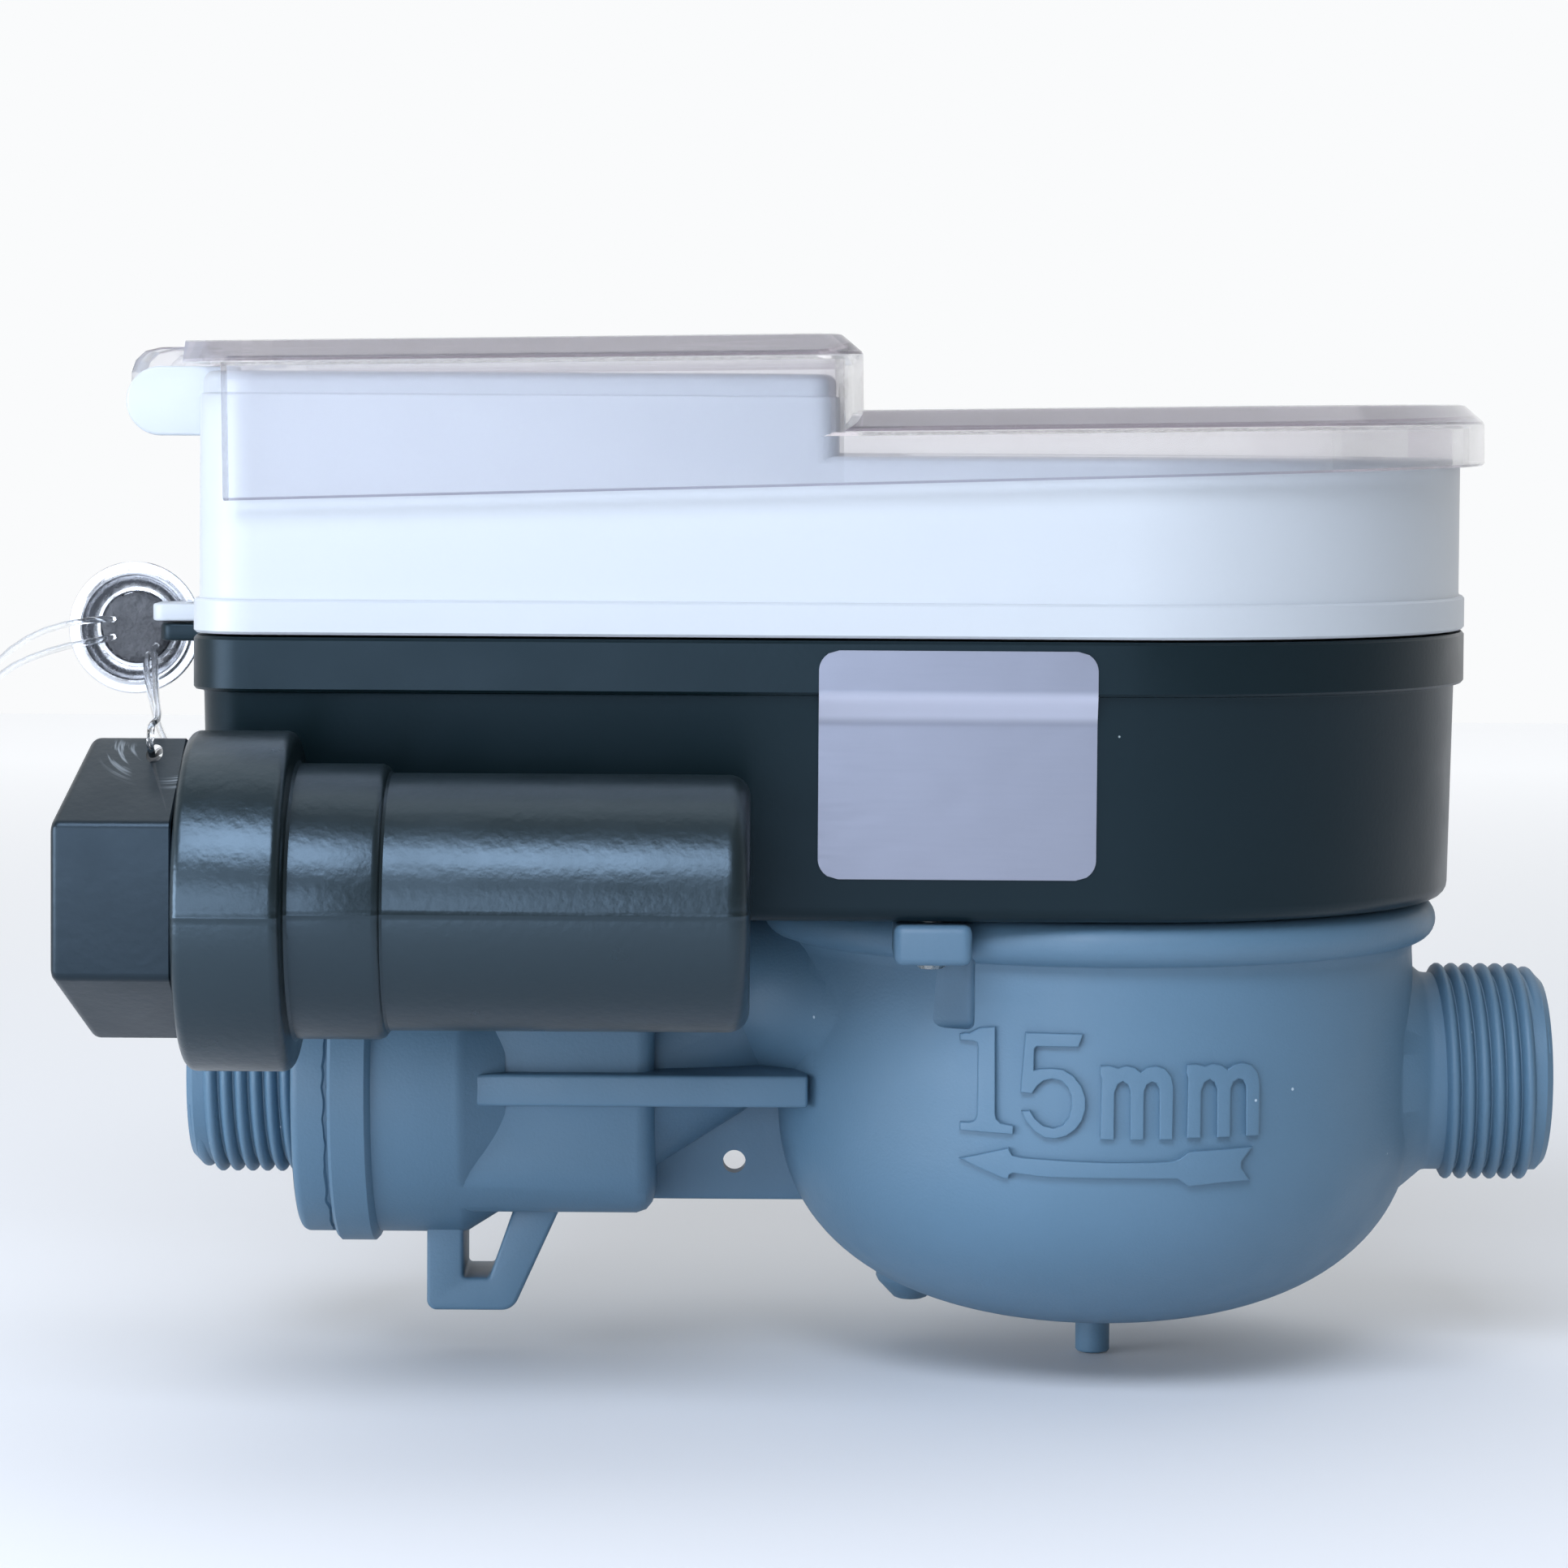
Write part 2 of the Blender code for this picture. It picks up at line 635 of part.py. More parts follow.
def outlet_neck():
    """Neck that climbs from the valve to the upper half of the bowl, with its rib and gusset."""
    start, end = VALVE_X + SQUARE_RIGHT - BITE, BOWL_X - POCKET_RADIUS - BITE / 2
    into_bowl = BOWL_X - BOWL_RADIUS + 2 * BITE
    neck = skin("outlet_neck", [round_section(start, OUTLET_NECK_RADIUS),
                                round_section(end, OUTLET_NECK_SMALL, OUTLET_NECK_RISE)])
    rib = block("side_rib", (VALVE_X + BARREL_RIGHT, -RIB_FRONT, RIB_LOW), (into_bowl, RIB_FRONT, RIB_HIGH))
    gusset = block("gusset", (start, -GUSSET_THICKNESS / 2, GUSSET_BOTTOM),
                   (into_bowl, GUSSET_THICKNESS / 2, BITE))
    hole_x = VALVE_X + SQUARE_RIGHT + TIE_HOLE_FROM_SQUARE
    tie_hole = rod("tie_hole", TIE_HOLE_RADIUS, (hole_x, -FAR_OVER, -TIE_HOLE_DROP),
                   (hole_x, FAR_OVER, -TIE_HOLE_DROP))
    return join(neck, rib, cut(gusset, tie_hole))


def inlet_neck():
    """Thread stub and the flared neck behind it, turned about the pipe axis."""
    profile = [(0, 0), (THREAD_ROOT_RADIUS - THREAD_CHAMFER, 0), (THREAD_ROOT_RADIUS, -THREAD_CHAMFER),
               (THREAD_ROOT_RADIUS, -THREAD_REACH), (NECK_RADIUS, -THREAD_REACH - STEP_SLOPE)]
    profile += [(NECK_SHOULDER[0], -NECK_SHOULDER[1]), (NECK_FLARE_RADIUS, -NECK_END), (0, -NECK_END)]
    return turned("inlet_neck", profile, None, along((1, 0, 0)))


def lugs():
    """Screw lugs at the front and back of the bowl."""
    for side in (-1, 1):
        left, right = LUG_X - LUG_WIDTH / 2, LUG_X + LUG_WIDTH / 2
        front, back = side * LUG_FRONT, side * LUG_FRONT / 4
        corners = [(left, front, LUG_CORNER), (left, back, 0), (right, back, 0), (right, front, LUG_CORNER)]
        yield plate("lug", rounded(corners, 2), BOWL_TOP - LUG_THICKNESS, BOWL_TOP)


def lug_recesses():
    """Flat pockets in the bowl below the screw lugs, which leave room for the screw tips."""
    for side in (-1, 1):
        near, far = side * (BOWL_RADIUS - RECESS_DEPTH), side * (BEAD_RADIUS + BITE)
        yield block("lug_recess", (LUG_X - LUG_WIDTH, min(near, far), RECESS_LOW),
                    (LUG_X + RECESS_RIGHT, max(near, far), BOWL_TOP - LUG_THICKNESS - STEP_SLOPE))


def pocket_profile():
    """Inner half-section of the bowl: register pocket, shelf and jet space."""
    floor = -BOWL_DEPTH + BOWL_FLOOR_THICKNESS
    above = BOWL_TOP + FAR_OVER
    points = [(0, above), (POCKET_RADIUS, above), (POCKET_RADIUS, POCKET_FLOOR),
              (JET_SPACE_RADIUS, POCKET_FLOOR)]
    drop = floor + JET_SPACE_STRAIGHT
    for step in range(0, 5):
        angle = math.pi / 2 * step / 4
        points.append((JET_SPACE_RADIUS * math.cos(angle) if step < 4 else 0,
                       -JET_SPACE_STRAIGHT + drop * math.sin(angle)))
    return points


def make_meter_body():
    """One moulding: inlet thread, bowl, outlet neck and valve body."""
    body = turned("meter_body", bowl_profile(), BLUE_BODY, along((0, 0, 1), (BOWL_X, 0, 0)), BOWL_STEPS)
    boss_x, boss_y = BOWL_X + DRAIN_BOSS_PLACE[0], DRAIN_BOSS_PLACE[1]
    peg = rod("peg_foot", PEG_FOOT_RADIUS, (BOWL_X, 0, -BOWL_DEPTH - PEG_FOOT_DROP),
              (BOWL_X, 0, -BOWL_DEPTH + BITE))
    boss = rod("drain_boss", DRAIN_BOSS_RADIUS, (boss_x, boss_y, -DRAIN_BOSS_DROP),
               (boss_x, boss_y, -BOWL_DEPTH / 2))
    cut(body, *lug_recesses())
    join(body, inlet_neck(), outlet_neck(), valve_shell(), loop_foot(), peg, boss, *lugs())
    pocket = turned("pocket", pocket_profile(), None, along((0, 0, 1), (BOWL_X, 0, 0)), BOWL_STEPS)
    inlet_bore = rod("inlet_bore", BORE_RADIUS, (FAR_OVER, 0, 0),
                     (-STRAINER_FROM_FACE - STRAINER_DEPTH, 0, 0))
    inlet_bend = rod("inlet_bend", PASSAGE_RADIUS, (INLET_BEND_X, 0, 0),
                     (INLET_PASSAGE_END[0], 0, INLET_PASSAGE_END[1]))
    outlet_start = (BOWL_X - POCKET_RADIUS + BITE, 0, OUTLET_NECK_RISE)
    outlet_bend = rod("outlet_bend", PASSAGE_RADIUS, outlet_start, (VALVE_X + SEAT_BACK - BITE, 0, 0))
    seat_space = SEAT_BACK + GAP
    ball_space = rod("ball_space", CHAMBER_RADIUS, (VALVE_X - seat_space - BITE, 0, 0),
                     (VALVE_X + seat_space, 0, 0), steps=ROUND_STEPS)
    fitting_bore = rod("fitting_bore", FITTING_BORE_RADIUS, (VALVE_X + RING_LEFT - FAR_OVER, 0, 0),
                       (VALVE_X - seat_space, 0, 0), steps=ROUND_STEPS)
    stem_bore = rod("stem_bore", STEM_RADIUS + GAP, (VALVE_X, 0, BALL_RADIUS),
                    (VALVE_X, 0, BOWL_TOP + FAR_OVER))
    cut(body, pocket, inlet_bore, inlet_bend, outlet_bend, ball_space, fitting_bore, stem_bore)
    for x, y in screw_places():
        cut(body, rod("screw_hole", SCREW_RADIUS + GAP, (x, y, SCREW_HOLE_FLOOR),
                      (x, y, BOWL_TOP + FAR_OVER)))
    return body


def screw_places():
    """Centres of the four screws that hold the case on the body."""
    return [(LUG_X, -LUG_SCREW_Y), (LUG_X, LUG_SCREW_Y), (VALVE_X, -TOWER_SCREW_Y), (VALVE_X, TOWER_SCREW_Y)]


def make_outlet_fitting():
    """Threaded outlet that closes the valve body and holds the outer seat."""
    left, ring = OUTLET_X - VALVE_X, RING_LEFT - GAP
    nose = -SEAT_BACK - GAP
    bore = BORE_RADIUS
    disc = ring - FITTING_DISC
    soft = THREAD_CHAMFER
    return turned("outlet_end_fitting", [
        (bore, left), (THREAD_ROOT_RADIUS - soft, left), (THREAD_ROOT_RADIUS, left + soft),
        (THREAD_ROOT_RADIUS, disc), (BARREL_RADIUS - soft, disc), (BARREL_RADIUS, disc + soft),
        (BARREL_RADIUS, ring), (FITTING_BORE_RADIUS - GAP, ring), (FITTING_BORE_RADIUS - GAP, nose - GAP),
        (bore, nose - GAP)], BLUE_BODY, along((1, 0, 0), (VALVE_X, 0, 0)))


# Measuring works

def ring_of_blocks(name, count, radius, size, low, swirl=0.0):
    """Blocks set round a circle in one mesh, to cut a row of ports."""
    shape = bmesh.new()
    for i in range(count):
        turn = Matrix.Rotation(2 * math.pi * i / count, 4, "Z")
        lean = Matrix.Rotation(swirl, 4, "Z")
        place = turn @ Matrix.Translation((radius, 0, low + size[2] / 2)) @ lean @ Matrix.Diagonal((*size, 1))
        bmesh.ops.create_cube(shape, size=1.0, matrix=place)
    return finish_mesh(name, shape, None, Matrix.Translation((BOWL_X, 0, 0)))


def make_measuring_chamber():
    """Cup with slanted jets below its flange and return ports above it."""
    outer, inner = CHAMBER_CUP_RADIUS, CHAMBER_CUP_RADIUS - CHAMBER_CUP_WALL
    flange_low = POCKET_FLOOR + GAP
    flange_high = flange_low + CHAMBER_FLANGE_THICKNESS
    floor = CHAMBER_CUP_BOTTOM + CHAMBER_CUP_WALL
    cup = turned("measuring_chamber", [
        (PIVOT_RADIUS + GAP, CHAMBER_CUP_BOTTOM), (outer, CHAMBER_CUP_BOTTOM), (outer, flange_low),
        (CHAMBER_FLANGE_RADIUS, flange_low), (CHAMBER_FLANGE_RADIUS, flange_high), (outer, flange_high),
        (outer, CHAMBER_CUP_TOP), (inner, CHAMBER_CUP_TOP), (inner, floor), (PIVOT_RADIUS + GAP, floor)],
        WHITE_ACETAL, along((0, 0, 1), (BOWL_X, 0, 0)))
    depth = CHAMBER_CUP_WALL * 4
    jets = ring_of_blocks("jets", JET_COUNT, outer, (depth, JET_WIDTH, JET_HEIGHT), JET_LOW, JET_SWIRL)
    returns = ring_of_blocks("returns", JET_COUNT, outer, (depth, JET_WIDTH, RETURN_HEIGHT), RETURN_LOW,
                             -JET_SWIRL)
    return cut(cup, jets, returns)


def make_chamber_cover():
    """Disc on the cup, with the upper bearing of the impeller."""
    low = CHAMBER_CUP_TOP + GAP
    return turned("chamber_cover", [
        (AXLE_RADIUS + GAP, low), (CHAMBER_CUP_RADIUS, low), (CHAMBER_CUP_RADIUS, low + COVER_THICKNESS),
        (AXLE_RADIUS + GAP, low + COVER_THICKNESS)], WHITE_ACETAL, along((0, 0, 1), (BOWL_X, 0, 0)))


def make_impeller():
    """Straight-bladed wheel with a spindle, on a steel pivot."""
    low = CHAMBER_CUP_BOTTOM + CHAMBER_CUP_WALL + IMPELLER_LIFT
    high = low + IMPELLER_HEIGHT
    outline = []
    for i in range(IMPELLER_BLADES):
        middle = 2 * math.pi * i / IMPELLER_BLADES
        for radius, side in ((IMPELLER_HUB_RADIUS, -1), (IMPELLER_RADIUS, -1), (IMPELLER_RADIUS, 1),
                             (IMPELLER_HUB_RADIUS, 1)):
            angle = middle + side * math.asin(BLADE_THICKNESS / 2 / radius)
            outline.append((radius * math.cos(angle), radius * math.sin(angle)))
    wheel = plate("impeller", outline, low, high, WHITE_ACETAL, Matrix.Translation((BOWL_X, 0, 0)))
    spindle = rod("spindle", AXLE_RADIUS, (BOWL_X, 0, high - BITE / 2),
                  (BOWL_X, 0, CHAMBER_CUP_TOP + COVER_THICKNESS), None, PIN_STEPS)
    bearing = rod("bearing", PIVOT_RADIUS + GAP, (BOWL_X, 0, low - OVER), (BOWL_X, 0, pivot_top() + GAP),
                  None, PIN_STEPS)
    return cut(join(wheel, spindle), bearing)


def pivot_top():
    """Height of the pivot's tip inside the impeller."""
    return CHAMBER_CUP_BOTTOM + CHAMBER_CUP_WALL + PIVOT_HEIGHT


def make_impeller_pivot():
    """Steel pin that stands in the cup's floor."""
    return rod("impeller_pivot", PIVOT_RADIUS, (BOWL_X, 0, CHAMBER_CUP_BOTTOM), (BOWL_X, 0, pivot_top()),
               STEEL, PIN_STEPS)


def magnet_ring(name, low):
    """Ring magnet on a spindle."""
    inner = AXLE_RADIUS + GAP
    return turned(name, [(inner, low), (MAGNET_RADIUS, low), (MAGNET_RADIUS, low + MAGNET_HEIGHT),
                         (inner, low + MAGNET_HEIGHT)], MAGNET, along((0, 0, 1), (BOWL_X, 0, 0)), SMALL_STEPS)


def plate_level():
    """Underside of the sealing plate's middle."""
    return CHAMBER_CUP_TOP + GAP + COVER_THICKNESS + GAP


def make_sealing_plate():
    """Plate that keeps the water from the register, with a groove for its ring."""
    rim_radius = POCKET_RADIUS - GAP
    inner = rim_radius - PLATE_RIM_WIDTH
    high = BOWL_TOP - GAP
    low = plate_level()
    groove_low = high - PLATE_RIM_HEIGHT / 2 - PLATE_GROOVE_HEIGHT / 2
    groove = rim_radius - PLATE_GROOVE_DEPTH
    return turned("sealing_plate", [
        (0, low), (rim_radius, low), (rim_radius, groove_low), (groove, groove_low),
        (groove, groove_low + PLATE_GROOVE_HEIGHT), (rim_radius, groove_low + PLATE_GROOVE_HEIGHT),
        (rim_radius, high), (inner, high), (inner, low + PLATE_THICKNESS), (0, low + PLATE_THICKNESS)],
        WHITE_ACETAL, along((0, 0, 1), (BOWL_X, 0, 0)))


def make_head_seal():
    """Rubber ring in the plate's groove."""
    rim_radius = POCKET_RADIUS - GAP
    high = BOWL_TOP - GAP - PLATE_RIM_HEIGHT / 2 + PLATE_GROOVE_HEIGHT / 2 - GAP
    low = high - PLATE_GROOVE_HEIGHT + 2 * GAP
    inner = rim_radius - PLATE_GROOVE_DEPTH + GAP
    return turned("head_seal_ring", [(inner, low), (rim_radius, low), (rim_radius, high), (inner, high)],
                  RUBBER, along((0, 0, 1), (BOWL_X, 0, 0)))


def make_strainer():
    """Cup strainer inside the inlet."""
    outer = BORE_RADIUS - GAP
    inner = outer - STRAINER_THICKNESS
    left = -STRAINER_FROM_FACE - STRAINER_DEPTH + GAP
    right = -STRAINER_FROM_FACE
    cup = turned("inlet_strainer", [(0, left), (outer, left), (outer, right), (inner, right),
                                    (inner, left + STRAINER_THICKNESS), (0, left + STRAINER_THICKNESS)],
                 WHITE_ACETAL, along((1, 0, 0)), SMALL_STEPS)
    shape = bmesh.new()
    for i in range(STRAINER_HOLES + 1):
        angle = 2 * math.pi * i / STRAINER_HOLES
        away = 0 if i == STRAINER_HOLES else inner - 2 * STRAINER_HOLE_RADIUS
        place = Matrix.Translation((left, away * math.cos(angle), away * math.sin(angle)))
        bmesh.ops.create_cone(shape, cap_ends=True, segments=6, radius1=STRAINER_HOLE_RADIUS,
                              radius2=STRAINER_HOLE_RADIUS, depth=STRAINER_DEPTH,
                              matrix=place @ Matrix.Rotation(math.pi / 2, 4, "Y"))
    return cut(cup, finish_mesh("strainer_holes", shape, None, None))


# Ball valve and its drive

def make_valve_ball():
    """Ball with its bore along the pipe and a slot for the stem."""
    half = 8
    profile = [(BALL_RADIUS * math.sin(math.pi * i / half) if 0 < i < half else 0,
                -BALL_RADIUS * math.cos(math.pi * i / half)) for i in range(half + 1)]
    ball = turned("valve_ball", profile, STEEL, Matrix.Translation((VALVE_X, 0, 0)), SMALL_STEPS)
    reach = BALL_RADIUS + FAR_OVER
    bore = rod("ball_bore", BALL_BORE_RADIUS, (VALVE_X - reach, 0, 0), (VALVE_X + reach, 0, 0),
               None, PIN_STEPS)
    slot = block("ball_slot", (VALVE_X - reach, -SLOT_WIDTH / 2, BALL_RADIUS - SLOT_DEPTH),
                 (VALVE_X + reach, SLOT_WIDTH / 2, reach))
    return cut(ball, bore, slot)


def make_valve_seat(name, side):
    """Seat ring whose face follows the ball."""
    sphere = BALL_RADIUS + GAP
    inner = BALL_BORE_RADIUS + GAP
    profile = [(inner, math.sqrt(sphere ** 2 - inner ** 2))]
    for step in range(1, 3):
        radius = inner + (SEAT_LAND - inner) * step / 2
        profile.append((radius, math.sqrt(sphere ** 2 - radius ** 2)))
    outer = CHAMBER_RADIUS - GAP
    profile += [(outer, profile[-1][1]), (outer, SEAT_BACK), (inner, SEAT_BACK)]
    return turned(name, profile, WHITE_ACETAL, along((side, 0, 0), (VALVE_X, 0, 0)), SMALL_STEPS)


def make_valve_stem():
    """Stem from the ball's slot up into the case, with a groove for its seal."""
    collar_high = math.sqrt(CHAMBER_RADIUS ** 2 - STEM_COLLAR_RADIUS ** 2) - 2 * GAP
    collar_low = collar_high - STEM_COLLAR_THICKNESS
    groove_low = STEM_SEAL_RISE - STEM_GROOVE_HEIGHT / 2
    top = GEAR_LEVEL + GEAR_THICKNESS
    stem = turned("valve_stem", [
        (0, collar_low), (STEM_COLLAR_RADIUS, collar_low), (STEM_COLLAR_RADIUS, collar_high),
        (STEM_RADIUS, collar_high), (STEM_RADIUS, groove_low), (STEM_GROOVE_RADIUS, groove_low),
        (STEM_GROOVE_RADIUS, groove_low + STEM_GROOVE_HEIGHT), (STEM_RADIUS, groove_low + STEM_GROOVE_HEIGHT),
        (STEM_RADIUS, top), (0, top)], STEEL, Matrix.Translation((VALVE_X, 0, 0)), SMALL_STEPS)
    tang = block("stem_tang", (VALVE_X - TANG_HALF, -SLOT_WIDTH / 2 + GAP, BALL_RADIUS - SLOT_DEPTH + GAP),
                 (VALVE_X + TANG_HALF, SLOT_WIDTH / 2 - GAP, collar_low + STEM_COLLAR_THICKNESS / 2))
    return join(stem, tang)


def make_stem_seal():
    """Rubber ring on the stem."""
    low = STEM_SEAL_RISE - STEM_GROOVE_HEIGHT / 2 + GAP
    high = low + STEM_GROOVE_HEIGHT - 2 * GAP
    inner, outer = STEM_GROOVE_RADIUS + GAP, STEM_RADIUS
    return turned("stem_seal_ring", [(inner, low), (outer, low), (outer, high), (inner, high)], RUBBER,
                  Matrix.Translation((VALVE_X, 0, 0)), SMALL_STEPS)


def make_gear(name, teeth, x, bore_radius, phase=0.0):
    """Spur gear about a vertical axis on the centre line."""
    gear = plate(name, gear_outline(teeth, phase), GEAR_LEVEL, GEAR_LEVEL + GEAR_THICKNESS, WHITE_ACETAL,
                 Matrix.Translation((x, 0, 0)))
    hole = rod("gear_bore", bore_radius, (x, 0, GEAR_LEVEL - OVER),
               (x, 0, GEAR_LEVEL + GEAR_THICKNESS + OVER), None, PIN_STEPS)
    return cut(gear, hole)


def centre_distance(first, second):
    """Distance between the axes of two meshing gears."""
    return GEAR_MODULE * (first + second) / 2


def bridge(name, x, half_length, material):
    """Low table that stands on the case's floor over a gear."""
    floor = CASE_BOTTOM + CASE_FLOOR + GAP
    level = GEAR_LEVEL + GEAR_THICKNESS + GAP
    top = level + FRAME_PLATE_THICKNESS
    outer = FRAME_HALF_WIDTH + FRAME_LEG
    table = block(name, (x - half_length, -outer, level), (x + half_length, outer, top), material)
    legs = [block("leg", (x - FRAME_LEG_LENGTH / 2, side * FRAME_HALF_WIDTH if side > 0 else -outer, floor),
                  (x + FRAME_LEG_LENGTH / 2, outer if side > 0 else -FRAME_HALF_WIDTH, level + GAP))
            for side in (-1, 1)]
    return join(table, *legs)


def make_valve_drive():
    """Gear on the stem, pinion, bracket and geared motor."""
    motor_x = VALVE_X + centre_distance(VALVE_GEAR_TEETH, VALVE_PINION_TEETH)
    make_gear("valve_gear", VALVE_GEAR_TEETH, VALVE_X, STEM_RADIUS + GAP)
    half_tooth = math.pi / VALVE_PINION_TEETH
    make_gear("valve_pinion", VALVE_PINION_TEETH, motor_x, AXLE_RADIUS + GAP, math.pi + half_tooth)
    bracket = bridge("drive_bracket", motor_x, BRACKET_HALF_LENGTH, STEEL)
    level = GEAR_LEVEL + GEAR_THICKNESS + GAP + FRAME_PLATE_THICKNESS
    cut(bracket, rod("shaft_hole", AXLE_RADIUS + GAP, (motor_x, 0, GEAR_LEVEL),
                     (motor_x, 0, level + FAR_OVER), None, PIN_STEPS))
    low = level + GAP
    body_low = low + GEARBOX_HEIGHT
    turned("gear_motor", [
        (0, GEAR_LEVEL), (AXLE_RADIUS, GEAR_LEVEL), (AXLE_RADIUS, low), (GEARBOX_RADIUS, low),
        (GEARBOX_RADIUS, body_low), (MOTOR_RADIUS, body_low), (MOTOR_RADIUS, body_low + MOTOR_HEIGHT),
        (0, body_low + MOTOR_HEIGHT)], STEEL, Matrix.Translation((motor_x, 0, 0)), SMALL_STEPS)


def make_register():
    """Follower magnet with its spindle and pinion, pulse gear, its axle and the frame over them."""
    follower_low = plate_level() + PLATE_THICKNESS + GAP
    magnet_ring("follower_magnet", follower_low)
    top = GEAR_LEVEL + GEAR_THICKNESS
    rod("register_spindle", AXLE_RADIUS, (BOWL_X, 0, follower_low), (BOWL_X, 0, top), STEEL, PIN_STEPS)
    make_gear("register_pinion", REGISTER_PINION_TEETH, BOWL_X, AXLE_RADIUS + GAP)
    gear_x = BOWL_X + centre_distance(REGISTER_PINION_TEETH, PULSE_GEAR_TEETH)
    phase = math.pi + math.pi / PULSE_GEAR_TEETH
    make_gear("pulse_gear", PULSE_GEAR_TEETH, gear_x, AXLE_RADIUS + GAP, phase)
    floor = CASE_BOTTOM + CASE_FLOOR + GAP
    rod("pulse_gear_axle", AXLE_RADIUS, (gear_x, 0, floor), (gear_x, 0, top), STEEL, PIN_STEPS)
    middle = (BOWL_X + gear_x) / 2
    bridge("register_frame", middle, (gear_x - BOWL_X) / 2 + FRAME_END, WHITE_ACETAL)


# Case, housing and lid

def case_tray():
    """Tray with a stepped rim and the black seal lug."""
    foot = CASE_STEP + CASE_DRAFT
    rise, soft = CASE_BOTTOM_ROUND, CASE_BOTTOM_ROUND * SOFT_SHARE
    rim_top = CASE_SPLIT - GAP / 2
    tray = skin("lower_case", [
        ring_at(case_plan(foot + rise), CASE_BOTTOM), ring_at(case_plan(foot + soft), CASE_BOTTOM + soft),
        ring_at(case_plan(foot), CASE_BOTTOM + rise), ring_at(case_plan(CASE_STEP), CASE_RIM_LOW),
        ring_at(case_plan(0), CASE_RIM_LOW + STEP_SLOPE), ring_at(case_plan(0), rim_top)], BLACK_CASE)
    lug = seal_lug("black_seal_lug", rim_top - SEAL_LUG_THICKNESS, rim_top,
                   SEAL_LUG_REACH - SEAL_LUG_SET_BACK)
    inside = case_ring("inside", CASE_WALL, CASE_BOTTOM + CASE_FLOOR, CASE_SPLIT + FAR_OVER)
    return cut(join(tray, lug), inside)


def case_ring(name, inset, low, high, material=None):
    """Straight-walled solid of the case's plan between two heights."""
    return skin(name, [ring_at(case_plan(inset), low), ring_at(case_plan(inset), high)], material)


def gasket_groove():
    """Cutter for the groove in the rim."""
    low, high = CASE_SPLIT - GAP / 2 - GASKET_HEIGHT, CASE_SPLIT + OVER
    island = case_ring("island", GASKET_INSET + GASKET_WIDTH, low - OVER, high + OVER)
    return cut(case_ring("groove", GASKET_INSET, low, high), island)


def battery_tube():
    """Flange, collar and tube, turned about the tube's axis, and the X of its end."""
    flange_right = FLANGE_LEFT + FLANGE_LENGTH
    collar_right = flange_right + COLLAR_LENGTH
    right = collar_right + TUBE_LENGTH
    soft, end_soft = FLANGE_ROUND, TUBE_END_ROUND
    tube = turned("battery_tube", [
        (0, FLANGE_LEFT), (FLANGE_RADIUS - soft, FLANGE_LEFT), (FLANGE_RADIUS, FLANGE_LEFT + soft),
        (FLANGE_RADIUS, flange_right - soft), (FLANGE_RADIUS - soft, flange_right),
        (COLLAR_RADIUS, flange_right), (COLLAR_RADIUS, collar_right - soft / 2),
        (COLLAR_RADIUS - soft / 2, collar_right), (TUBE_RADIUS, collar_right),
        (TUBE_RADIUS, right - end_soft),
        (TUBE_RADIUS - end_soft * SOFT_SHARE, right - end_soft * SOFT_SHARE), (TUBE_RADIUS - end_soft, right),
        (0, right)], None, along((1, 0, 0), (0, TUBE_Y, TUBE_Z)))
    return tube, right


def make_lower_case():
    """Tray with the battery tube on its front, and the X where the tube's bore ends."""
    case = cut(case_tray(), gasket_groove())
    tube, tube_right = battery_tube()
    bore_end = tube_right - TUBE_END_WALL
    below, above = CASE_BOTTOM - OVER, CASE_BOTTOM + CASE_FLOOR + OVER
    cut(join(case, tube),
        rod("tube_bore", TUBE_BORE_RADIUS, (FLANGE_LEFT - FAR_OVER, TUBE_Y, TUBE_Z),
            (bore_end, TUBE_Y, TUBE_Z), steps=ROUND_STEPS),
        rod("well", WELL_RADIUS, (BOWL_X, 0, below), (BOWL_X, 0, above)),
        rod("stem_hole", STEM_RADIUS + GAP, (VALVE_X, 0, below), (VALVE_X, 0, above)))
    for x, y in screw_places():
        cut(case, rod("screw_hole", SCREW_RADIUS + GAP, (x, y, below), (x, y, above)))
    return bore_end


def seal_lug(name, low, high, reach):
    """Flat ear with a hole for the seal's cord."""
    front, back = SEAL_LUG_Y - SEAL_LUG_WIDTH / 2, SEAL_LUG_Y + SEAL_LUG_WIDTH / 2
    left, right = CASE_LEFT - reach, CASE_LEFT + BITE
    outline = rounded([(left, front, SEAL_LUG_CORNER), (right, front, 0), (right, back, 0),
                       (left, back, SEAL_LUG_CORNER)], 4)
    lug = plate(name, outline, low, high)
    hole_x = left + SEAL_LUG_REACH / 2
    return cut(lug, rod("lug_hole", SEAL_LUG_HOLE_RADIUS, (hole_x, SEAL_LUG_Y, low - OVER),
                        (hole_x, SEAL_LUG_Y, high + OVER), None, 12))


def make_gasket():
    """Rubber ring in the rim's groove."""
    high = CASE_SPLIT - GAP / 2
    low = high - GASKET_HEIGHT + GAP
    outer = case_ring("case_gasket", GASKET_INSET + GAP, low, high, RUBBER)
    return cut(outer, case_ring("gasket_hole", GASKET_INSET + GASKET_WIDTH - GAP, low - OVER, high + OVER))


